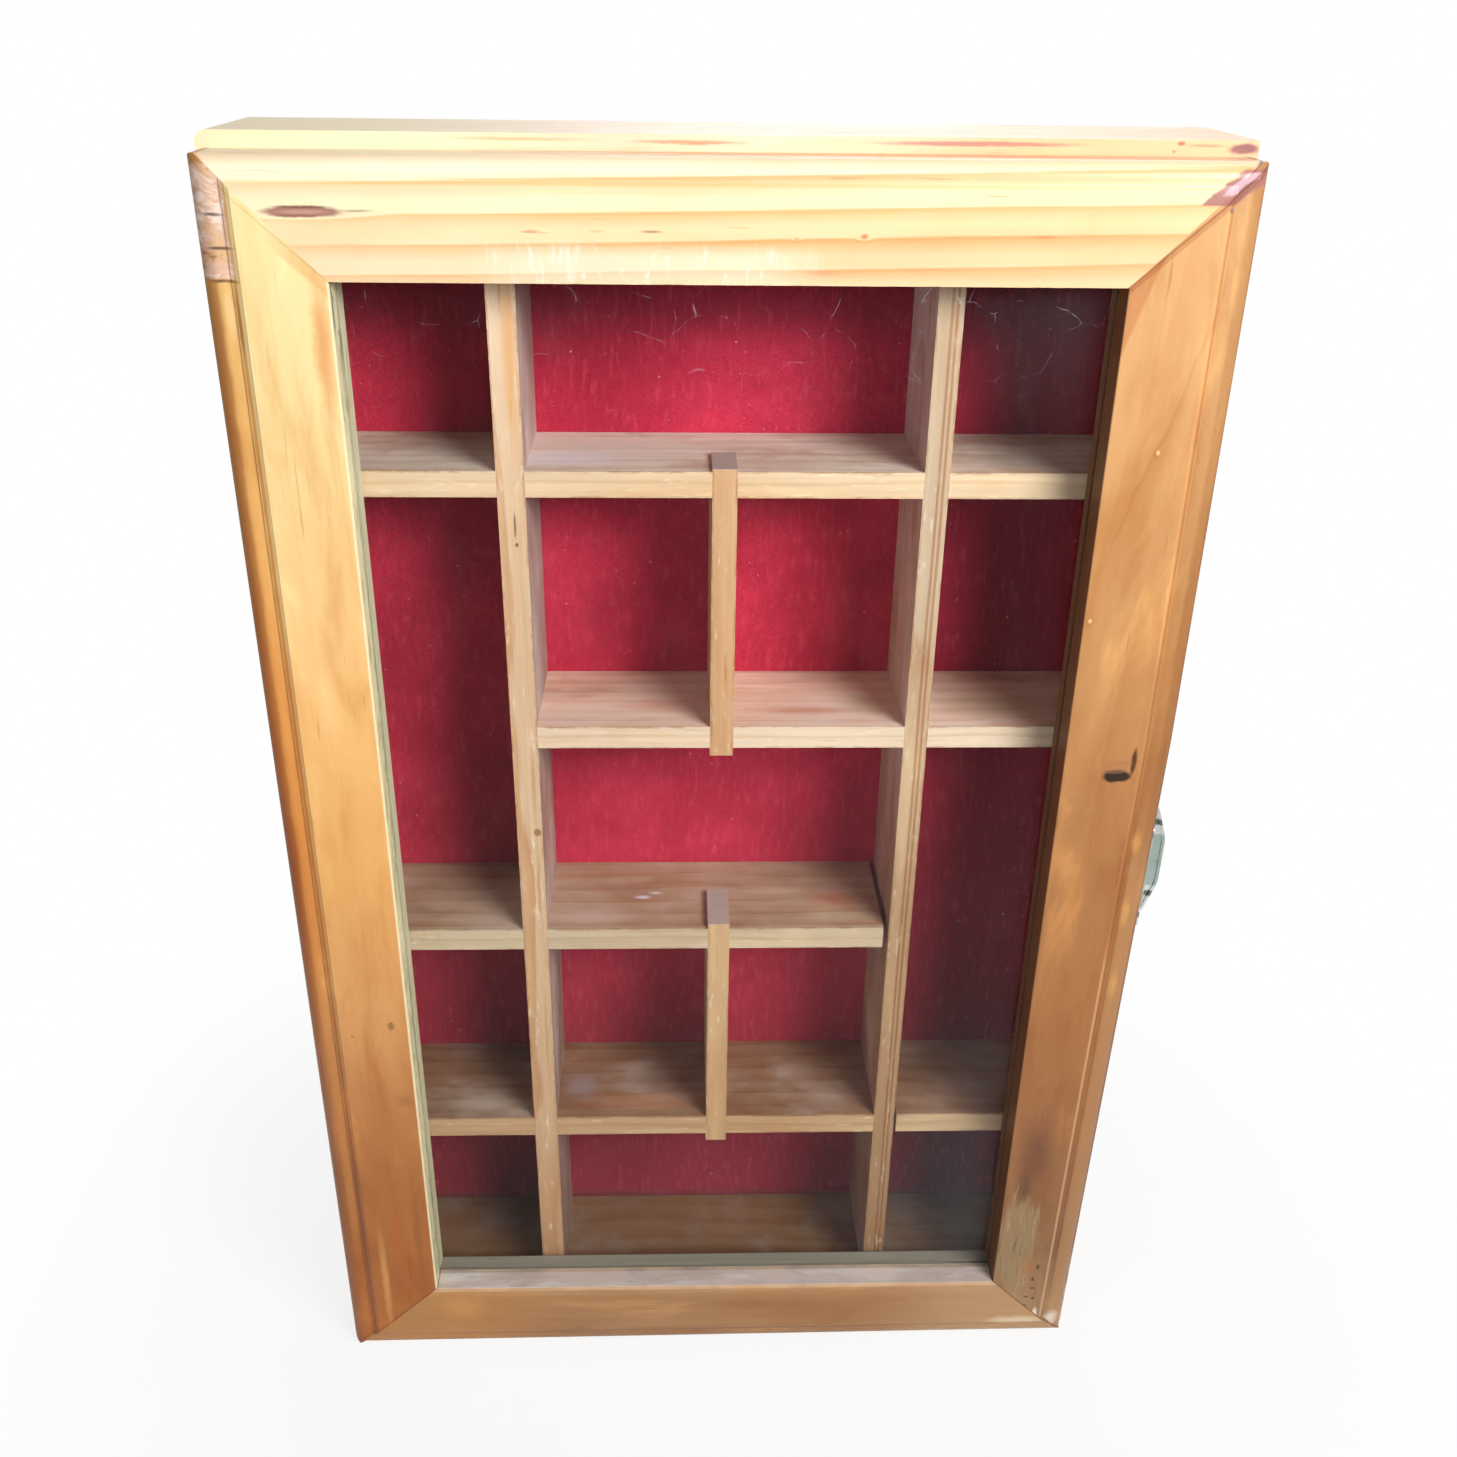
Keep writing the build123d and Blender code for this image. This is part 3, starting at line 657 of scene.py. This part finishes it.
def case_board(name, grain, heart, seed, marks=()):
    """A board of the case: varnished outside; darker, greyer and dusty where it faces the inside.
    """
    board = Pine(name, grain, CASE_TONES, heart, spacing=7.0, seed=seed, figure=0.9, cloud=0.4)
    # Inside is away from the front, left, right, bottom and top faces.
    inside = board.over(board.y, -24.8, -24.0)
    for axis, outer, inner in ((board.x, -150, -148), (board.x, 150, 148),
                               (board.z, 2, 4), (board.z, 470, 468)):
        inside = board.times(inside, board.over(axis, outer, inner))
    dusty = board.noise(board.point, 40, 4.0, 0.65)
    board.shade(inside, (0.52, 0.60, 0.76), 0.95)
    board.tint(board.times(inside, board.span(dusty, 0.45, 0.75)), (158, 146, 138), 0.5)
    ledge = board.times(inside, board.over(board.y, -20, -24))
    board.tint(ledge, (196, 184, 170), 0.5)
    if grain == "X":
        topmost = board.over(board.z, 462, 466)
        # Painted light: the top's left end painted paler, as in brighter light; its right end
        # shaded peach.
        painted_lit_end = board.times(board.over(board.x, -40, -120), topmost)
        board.tint(painted_lit_end, (254, 240, 196), 0.75)
        peachy = board.times(board.over(board.x, 10, 100), topmost)
        board.shade(peachy, (0.90, 0.74, 0.60))
    for centre, radii, tint, amount, soft in marks:
        board.knot(centre, radii, tint, amount, soft)
    return board.done(0.46, 0.05)


# Knots and stains on the top board: middle and half sizes in mm, tint, amount, softness.
TOP_MARKS = [
    ((147.2, CASE_FRONT, 469.7), (5.8, 12, 2.0), (132, 80, 90), 0.9, 0.5),
    ((128.9, CASE_FRONT, 471.0), (1.6, 3, 0.8), (150, 84, 70), 0.8, 0.6),
    ((136, CASE_FRONT, 470.5), (8, 3, 0.6), (186, 130, 110), 0.7, 0.7),
    ((127, CASE_FRONT, 468.9), (0.7, 2, 0.6), (150, 90, 80), 0.7, 0.6),
    ((71, CASE_FRONT, 470.3), (38, 4, 0.9), (166, 104, 104), 0.75, 0.6),
    ((-12, CASE_FRONT, 470.0), (22, 4, 0.8), (214, 130, 96), 0.7, 0.7),
    ((-60, CASE_FRONT, 470.4), (30, 4, 0.7), (232, 170, 120), 0.6, 0.8),
    ((118, 32, CASE_HIGH), (16, 4, 2), SOOT, 0.7, 0.7),
    ((40, 6, CASE_HIGH), (70, 10, 2), (240, 206, 190), 0.5, 0.9),
]
# Each board: grain, heart, seed and marks.
CASE_BOARDS = {"top": ("X", (500, 80), 14.0, TOP_MARKS), "bottom": ("X", (-40, 70), 15.0),
               "left": ("Z", (-210, 10), 17.0), "right": ("Z", (220, -10), 19.0)}
for side, look in CASE_BOARDS.items():
    paint("case_" + side, case_board("case_pine_" + side, *look))
soften(["case_" + side for side in CASE_BOARDS], CASE_ARRIS)


def even(red, green, blue):
    """Tones of one colour all the way up."""
    return [(0, (red, green, blue)), (CASE_HIGH, (red, green, blue))]


# ------------------------ glazing beads
BEAD_SEED = 21.0
# The left bead is painted pale as lit, and the right one dark as painted shade.
BEAD_TONES = {
    "bead_top": even(190, 170, 130),
    "bead_bottom": even(150, 146, 134),
    "bead_left": [(40, (206, 200, 168)), (430, (214, 212, 186))],
    "bead_right": [(40, (104, 72, 48)), (430, (120, 84, 56))],
}
for count, (node, tones) in enumerate(BEAD_TONES.items()):
    way = "X" if node in ("bead_top", "bead_bottom") else "Z"
    bead = Pine(node + "_pine", way, tones, heart=(60, 40), spacing=4.0,
                seed=BEAD_SEED + count, figure=0.7)
    paint(node, bead.done(0.6))

# ------------------------ compartment grid
# Each piece: grain, tones of its cut front edge, what its broad faces multiply that by, and
# the heart of its rings. The tones darken downwards partly as painted shade, and the faces'
# multipliers mix the wood's colour and dust with painted light: the shelves' tops darken from a
# to d as painted shade.
GRID = {
    "divider_left": ("Z", [(40, (196, 156, 120)), (250, (218, 184, 152)),
                           (430, (236, 206, 178))], (0.57, 0.60, 0.88), (-92, 14)),
    "divider_right": ("Z", [(40, (164, 124, 88)), (215, (178, 144, 110)),
                            (270, (198, 168, 140)), (430, (210, 192, 172))],
                      (0.98, 0.92, 1.14), (52, -2)),
    "mullion_upper": ("Z", [(270, (208, 166, 126)), (400, (220, 179, 139))],
                      (0.80, 0.78, 0.80), (14, 60)),
    "mullion_lower": ("Z", [(100, (204, 166, 126)), (240, (214, 177, 138))],
                      (0.78, 0.74, 0.74), (-14, 60)),
    "shelf_a": ("X", even(232, 204, 172), (1.05, 1.22, 1.64), (394, 70)),
    "shelf_b": ("X", even(234, 213, 192), (1.05, 0.92, 0.98), (300, 60)),
    "shelf_c": ("X", even(204, 182, 156), (0.82, 0.74, 0.76), (180, 64)),
    "shelf_d": ("X", even(200, 168, 134), (0.54, 0.43, 0.40), (126, 58)),
}
GRID_FRONT = -25.15
GRID_SEED = 31.0
GRID_ARRIS = 0.25
DUST = (226, 214, 210)
CUT_BROWN = (168, 112, 62)
# Knots and stains on the left divider's front edge: middle and half sizes in mm, tint, amount,
# softness.
DIVIDER_MARKS = [((-67.3, GRID_FRONT, 356), (0.5, 1, 5.5), (104, 78, 54), 0.8, 0.5),
                 ((-67.0, GRID_FRONT, 349.4), (0.7, 1, 0.9), UMBER, 0.8, 0.5),
                 ((-65.2, GRID_FRONT, 242), (1.7, 2, 1.9), (142, 92, 54), 0.85, 0.5),
                 ((-65.8, GRID_FRONT, 262), (1.0, 1, 20), CUT_BROWN, 0.45, 0.9),
                 ((-65.8, GRID_FRONT, 216), (1.0, 1, 22), CUT_BROWN, 0.5, 0.9),
                 ((-66.0, GRID_FRONT, 150), (0.9, 1, 36), CUT_BROWN, 0.4, 0.9),
                 ((-66.4, GRID_FRONT, 408), (2.6, 1, 40), (224, 160, 88), 0.6, 0.9)]
# Stains on the shelves' top faces: middle (x, y) and half sizes in mm, tint, amount.
STAIN_DEEP = 2.0
STAIN_SOFT = 0.9
SHELF_STAINS = {
    "shelf_a": [((-52, -10), (26, 12), (232, 220, 230), 0.75),
                ((14, -14), (30, 6), (198, 160, 140), 0.5),
                ((92, -12), (24, 10), (214, 206, 198), 0.45)],
    "shelf_b": [((30, -12), (24, 5), (190, 92, 60), 0.5),
                ((-24, -8), (18, 7), (206, 120, 84), 0.4),
                ((52, -8), (14, 14), (186, 150, 120), 0.5),
                ((98, -8), (34, 14), (182, 146, 116), 0.55)],
    "shelf_c": [((-29, -4), (4.5, 1.8), (226, 228, 238), 0.8),
                ((-24, -1), (3.5, 1.2), (226, 228, 238), 0.7),
                ((-46, -16), (22, 7), (212, 186, 178), 0.5),
                ((44, -6), (14, 10), (196, 110, 84), 0.4)],
    "shelf_d": [((-30, -16), (40, 8), (190, 120, 80), 0.4),
                ((-55, -6), (11, 12), (176, 158, 162), 0.55),
                ((-22, -4), (22, 10), (104, 62, 52), 0.35),
                ((-95, -16), (16, 7), (196, 180, 164), 0.5)],
}
# The two dark lines of grain on the right divider's front edge, by their x in mm.
DIVIDER_LINES = (67.1, 68.7)


def grain_line(board, front, axis, place, soft, tint, amount):
    """A dark line of grain on the front edge, where an axis passes a place in metres."""
    line = board.within(board.math("SUBTRACT", axis, place), -0.2, 0.2, soft)
    board.shade(board.times(front, line), tint, amount)


def grid_pine(node, grain, edge, face, heart, seed):
    """Thin sawn stock: paler on the cut front edge, pinker and dusty on the broad faces, the pink
    partly a painted reflection of the felt.
    """
    board = Pine(node + "_pine", grain, edge, heart, spacing=7.4, seed=seed, figure=1.0,
                 late=(0.84, 0.64, 0.48), fibre=0.22, drift=64.0, cloud=0.4)
    low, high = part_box(node)
    inside = board.over(board.y, GRID_FRONT + 0.3, GRID_FRONT + 1.0)
    front = board.math("SUBTRACT", 1.0, inside)
    board.shade(inside, face)
    cloud = board.drawn(board.wobbled(board.point, 22, 0.012), (20, 34, 20), rough=0.6)
    board.tint(board.times(inside, board.span(cloud, 0.46, 0.74)), DUST, 0.34)
    board.shade(board.times(inside, board.span(cloud, 0.50, 0.28)), (0.70, 0.54, 0.46), 0.85)
    across, start, end = ((board.z, low[2], high[2]) if grain == "X"
                          else (board.x, low[0], high[0]))
    wander = board.push(board.drawn(board.local, (9, 0, 0), 2.0, 0.5, (seed, 0, 0)), 9 * MM)
    if grain == "X":
        grain_line(board, front, board.plus(across, wander), start + 0.55 * (end - start),
                   0.7, (0.84, 0.68, 0.50), 0.4)
    # Chips along the cut arrises, and paler torn fibres between them.
    torn = board.drawn(board.local, (90, 420, 300))
    arris = board.math("MAXIMUM", board.span(across, start + 0.9 * MM, start + 0.2 * MM),
                       board.span(across, end - 0.9 * MM, end - 0.2 * MM))
    chips = board.times(arris, front, board.span(torn, 0.44, 0.60))
    board.shade(chips, (0.62, 0.46, 0.34), 0.75)
    board.tint(board.times(front, board.span(torn, 0.58, 0.70)), (250, 238, 214), 0.35)
    for (x, y), (wide, deep), tint, amount in SHELF_STAINS.get(node, ()):
        board.knot((x, y, high[2] / MM), (wide, deep, STAIN_DEEP), tint, amount, STAIN_SOFT)
    if node == "divider_left":
        for centre, radii, tint, amount, soft in DIVIDER_MARKS:
            board.knot(centre, radii, tint, amount, soft)
    if node == "divider_right":
        swayed = board.plus(board.x, board.times(wander, 0.12))
        for place in DIVIDER_LINES:
            grain_line(board, front, swayed, place * MM, 0.45, (0.68, 0.46, 0.30), 0.8)
    if node.startswith("mullion"):
        top = board.span(board.z, high[2] - 0.4 * MM, high[2] - 0.1 * MM)
        board.tint(top, (178, 164, 162), 0.8)
    return board.done(0.62, 0.0, 0.4)


for count, (node, look) in enumerate(GRID.items()):
    paint(node, grid_pine(node, *look, GRID_SEED + 2 * count))
soften(GRID, GRID_ARRIS)

PLY_TONES = [(0, (206, 170, 124)), (CASE_HIGH, (214, 180, 134))]
paint("back_panel", Pine("back_plywood", "Z", PLY_TONES, heart=(20, 90), spacing=9.0,
                         seed=51.0, fibre=0.2, drift=120.0, cloud=0.5).done(0.7))


# ------------------------ felt
def felt_material():
    """Crimson felt, with painted shade: darker towards its foot, under the case's top and at the
    right.
    """
    cloth = Tree("crimson_felt")
    x, _, z = cloth.split(cloth.point)[:3]
    fuzz = cloth.noise(cloth.point, 1500, 4.0, 0.7)
    nap = cloth.drawn(cloth.point, (520, 520, 120), 3.0, 0.6)
    lint = cloth.drawn(cloth.point, (900, 900, 2600), 2.0, 0.5)
    cloud = cloth.noise(cloth.point, 22, 4.0, 0.65)
    dust = cloth.noise(cloth.point, 620, 1.0)
    # Painted shade: darker towards the foot where less light reaches, the shadow under the case's
    # top, and the shadow at the right.
    foot = cloth.over(z, 200, 60, smooth=False)
    shaded = cloth.over(z, 400, 416)
    painted_shade_right = cloth.over(x, 60, 100)
    colour = cloth.mix(cloth.span(cloud, 0.3, 0.72), srgb(178, 32, 62), srgb(214, 50, 84))
    # The first three layers are painted shade; the rest are the cloth's own fuzz, nap, lint and
    # dust.
    for mask, amount, tint in ((foot, 0.75, srgb(132, 36, 50)),
                               (shaded, 0.5, srgb(120, 24, 46)),
                               (painted_shade_right, 0.6, srgb(110, 20, 40)),
                               (cloth.span(fuzz, 0.40, 0.66), 0.45, srgb(128, 14, 38)),
                               (cloth.span(nap, 0.50, 0.72), 0.30, srgb(228, 84, 108)),
                               (cloth.span(lint, 0.62, 0.8), 0.3, srgb(226, 116, 130)),
                               (cloth.span(dust, 0.745, 0.80), 0.6, srgb(238, 190, 190))):
        colour = cloth.mix(cloth.times(mask, amount), colour, tint)
    normal = cloth.bump(cloth.plus(fuzz, lint), 0.5, 0.0005)
    return cloth.finish(colour, normal, 0.95, Sheen_Weight=0.2, Sheen_Roughness=0.5,
                        Sheen_Tint=srgb(235, 150, 160), Specular_IOR_Level=0.2)


FELT_COLUMNS = 52
FELT_ROWS = 86
FELT_THICK = 1.0
FELT_CLEAR = 0.2
FELT_RIPPLE = 0.12
# The ripple's waves: how fast they run across, up, and in the slow swell along the height.
RIPPLE_ACROSS = 41
RIPPLE_UP = 13
RIPPLE_SWELL = 23
SWELL_START = 1.3


def felt_sheet():
    """The felt glued over the back board, with the faint unevenness of cloth."""
    low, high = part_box("back_felt")
    mesh = bpy.data.meshes.new("felt_lining")
    form = bmesh.new()
    lines = []
    for j in range(FELT_ROWS + 1):
        line = []
        z = low[2] + (high[2] - low[2]) * j / FELT_ROWS
        for i in range(FELT_COLUMNS + 1):
            x = low[0] + (high[0] - low[0]) * i / FELT_COLUMNS
            wave = math.sin(RIPPLE_ACROSS * x + RIPPLE_UP * z)
            ripple = FELT_RIPPLE * wave * math.sin(RIPPLE_SWELL * z + SWELL_START)
            line.append(form.verts.new((x, low[1] + (FELT_CLEAR + ripple) * MM, z)))
        lines.append(line)
    for under, over in zip(lines, lines[1:]):
        for i in range(FELT_COLUMNS):
            form.faces.new((under[i], under[i + 1], over[i + 1], over[i]))
    form.to_mesh(mesh)
    form.free()
    piece = bpy.data.objects.new("felt_lining", mesh)
    bpy.context.collection.objects.link(piece)
    mesh.materials.append(felt_material())
    backing = piece.modifiers.new("cloth_thickness", "SOLIDIFY")
    backing.thickness = FELT_THICK * MM
    backing.offset = -1.0
    for face in mesh.polygons:
        face.use_smooth = True
    return piece


felt = felt_sheet()
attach(felt, "case")
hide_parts("back_felt")


# ------------------------ glass
FILM = 0.004


def glass_material():
    """Clear glass with dust, smears, scratches and painted reflection haze on the face that the
    light comes to.
    """
    glass = Tree("dusty_glass")
    x, _, z = glass.split(glass.point)[:3]
    clear = glass.node("ShaderNodeBsdfTransparent", Color=(0.98, 0.99, 0.985, 1)).outputs[0]
    smudge = glass.span(glass.noise(glass.point, 30, 3.0), 0.3, 0.7, 0.02, 0.07)
    glass.finish((0.95, 0.97, 1.0, 1), None, smudge, Metallic=1.0)
    fresnel = glass.node("ShaderNodeFresnel", IOR=1.5).outputs[0]
    backs = glass.node("ShaderNodeNewGeometry").outputs["Backfacing"]
    facing = glass.math("SUBTRACT", 1.0, backs)
    gleam = glass.times(fresnel, 0.4, facing)
    shine = glass.shaders(gleam, clear, glass.shader.outputs[0])
    # Dust and smears: thin overall, thicker low on the right and along the top, where the film is
    # partly dust and partly painted reflection haze.
    speck = glass.span(glass.noise(glass.point, 1500, 2.0), 0.66, 0.78)
    smeared = glass.span(glass.drawn(glass.point, (60, 10, 18), offset=(2, 0, 0)), 0.5, 0.85)
    web = glass.node("ShaderNodeTexVoronoi", Scale=60.0,
                     Vector=glass.scaled(glass.wobbled(glass.point, 60, 0.006), (1, 0, 1)))
    web.feature = "DISTANCE_TO_EDGE"
    hair = glass.span(web.outputs["Distance"], 0.008, 0.0)
    scratch = glass.times(glass.over(z, 390, 430), glass.over(x, -120, 60, 0.45, 1.0), hair,
                          glass.span(glass.noise(glass.point, 150, 2.0), 0.50, 0.62))
    low_right = glass.times(glass.over(x, 30, 100), glass.over(z, 200, 60))
    top_right = glass.times(glass.over(x, 50, 110), glass.over(z, 370, 430))
    amount = FILM
    for mask, opacity in ((smeared, 0.012), (low_right, 0.03), (scratch, 0.30),
                          (top_right, 0.02), (speck, 0.12)):
        amount = glass.plus(amount, glass.times(mask, opacity))
    dust = glass.node("ShaderNodeBsdfDiffuse", Color=srgb(205, 212, 225)).outputs[0]
    glass.tree.links.new(glass.shaders(glass.times(amount, facing), shine, dust),
                         glass.out.inputs[0])
    return glass.material


paint("door_glass", glass_material())


# ------------------------ metal
def metal(name, base, worn, rough, scale=500, metallic=1.0, height_bands=()):
    """Plated metal, with bands of another colour across its height, each (low, high, tint,
    amount) in mm.
    """
    plate = Tree(name)
    cloud = plate.noise(plate.point, scale, 3.0, 0.6)
    grit = plate.noise(plate.point, scale * 6, 2.0)
    colour = plate.mix(plate.span(cloud, 0.45, 0.75), base, worn)
    height = plate.split(plate.point)[2]
    for low, high, tint, amount in height_bands:
        band = plate.within(height, low, high, CLASP_BAND_SOFT)
        colour = plate.mix(plate.times(band, amount), colour, tint)
    normal = plate.bump(grit, 0.04, 0.0001)
    return plate.finish(colour, normal, plate.span(cloud, 0.3, 0.8, rough, rough + 0.16),
                        Metallic=metallic)


CLASP_ARRIS = 0.25
CLASP_BAND_SOFT = 0.9
# Bands across the clasp's height: a paler green middle and two narrow dark bands.
CLASP_BANDS = [(216.5, 237.5, srgb(172, 196, 188), 0.75),
                 (242.4, 244.0, srgb(74, 92, 84), 0.85),
                 (212.0, 213.4, srgb(74, 92, 84), 0.85)]
nickel = metal("clasp_nickel", srgb(246, 250, 246), srgb(214, 224, 214), 0.14, 90, 0.85,
               CLASP_BANDS)
brass = metal("hinge_brass", srgb(206, 170, 98), srgb(120, 88, 48), 0.3)
for node in NODES:
    if node.startswith("hinge"):
        paint(node, brass)
    elif node.startswith("clasp"):
        paint(node, nickel)
soften(("clasp_hasp", "clasp_base", "clasp_keeper"), CLASP_ARRIS)

# ------------------------ camera and light
PHOTO_PIXELS = 1457
FOCAL_PIXELS = 1432.33
SENSOR = 36.0
CAMERA_SHIFT = 0.006
CAMERA_NEAR = 0.01
CAMERA_TURN = (63.04, -0.6975, -1.5518)
CAMERA_PLACE = (-0.015707, -0.462879, 0.506057)

camera_data = bpy.data.cameras.new("camera")
camera = bpy.data.objects.new("camera", camera_data)
bpy.context.collection.objects.link(camera)
camera_data.sensor_width = SENSOR
camera_data.sensor_fit = "HORIZONTAL"
camera_data.lens = SENSOR * FOCAL_PIXELS / PHOTO_PIXELS
camera_data.shift_x = CAMERA_SHIFT
camera_data.clip_start = CAMERA_NEAR
camera.rotation_euler = [math.radians(angle) for angle in CAMERA_TURN]
camera.location = CAMERA_PLACE
bpy.context.scene.camera = camera


def area_light(name, place, aim, size, power, colour=(1, 1, 1), spread=180):
    """An oval lamp at a place in metres, turned to an aim, with its power in watts."""
    data = bpy.data.lights.new(name, "AREA")
    data.shape = "ELLIPSE"
    data.size, data.size_y = size
    data.energy = power
    data.color = colour
    data.spread = math.radians(spread)
    lamp = bpy.data.objects.new(name, data)
    bpy.context.collection.objects.link(lamp)
    lamp.location = place
    lamp.rotation_euler = (Vector(aim) - Vector(place)).to_track_quat("-Z", "Y").to_euler()


area_light("key", place=(0.52, -0.66, 0.72), aim=(0, 0, 0.33), size=(0.6, 0.42), power=3.4,
           colour=(1.0, 0.985, 0.95), spread=90)
area_light("fill", place=(-0.80, -0.85, 0.55), aim=(0, 0, 0.25), size=(0.5, 0.5), power=2.15,
           colour=(0.96, 0.98, 1.0))
area_light("back", place=(0.2, 1.1, 0.9), aim=(0, 0, 0.25), size=(0.9, 0.9), power=5.0)

AMBIENT_COLOUR = (0.97, 0.985, 1.0, 1)
AMBIENT_STRENGTH = 0.13


def studio_world():
    """A soft light all round, which the camera, metal and glass see as plain white."""
    world = bpy.data.worlds.new("studio")
    world.use_nodes = True
    nodes, links = world.node_tree.nodes, world.node_tree.links
    nodes.clear()
    pick = nodes.new("ShaderNodeMixShader")
    for slot, colour, strength in ((1, AMBIENT_COLOUR, AMBIENT_STRENGTH), (2, WHITE, 1.0)):
        light = nodes.new("ShaderNodeBackground")
        light.inputs[0].default_value = colour
        light.inputs[1].default_value = strength
        links.new(light.outputs[0], pick.inputs[slot])
    ray = nodes.new("ShaderNodeLightPath")
    seen = ray.outputs["Is Camera Ray"]
    for kind in ("Is Glossy Ray", "Is Transmission Ray"):
        either = nodes.new("ShaderNodeMath")
        either.operation = "MAXIMUM"
        links.new(seen, either.inputs[0])
        links.new(ray.outputs[kind], either.inputs[1])
        seen = either.outputs[0]
    links.new(seen, pick.inputs[0])
    links.new(pick.outputs[0], nodes.new("ShaderNodeOutputWorld").inputs[0])
    return world


bpy.context.scene.world = studio_world()

FLOOR_HALF = 6.0
FLOOR_DROP = 0.2


def floor_piece():
    """A white floor that keeps the object's shadow near it and melts into the background."""
    mesh = bpy.data.meshes.new("floor")
    form = bmesh.new()
    bmesh.ops.create_grid(form, x_segments=1, y_segments=1, size=FLOOR_HALF)
    form.to_mesh(mesh)
    form.free()
    piece = bpy.data.objects.new("floor", mesh)
    bpy.context.collection.objects.link(piece)
    piece.location = (0, 0, -FLOOR_DROP * MM)
    ground = Tree("floor_white")
    grain = ground.noise(ground.point, 60, 3.0)
    ground.finish(ground.mix(grain, (0.86, 0.86, 0.86, 1), (0.92, 0.92, 0.92, 1)), None, 0.8)
    glow = ground.node("ShaderNodeEmission", Color=WHITE, Strength=1.0).outputs[0]
    seen = ground.node("ShaderNodeLightPath").outputs["Is Camera Ray"]
    away = ground.vmath("LENGTH", ground.vmath("MULTIPLY", ground.point, (1, 1, 0)))
    lift = ground.times(seen, ground.span(away, 0.15, 0.38, 0.84, 1.0))
    ground.tree.links.new(ground.shaders(lift, ground.shader.outputs[0], glow),
                          ground.out.inputs[0])
    mesh.materials.append(ground.material)
    return piece


floor_piece()

bpy.context.scene.view_settings.view_transform = "Standard"
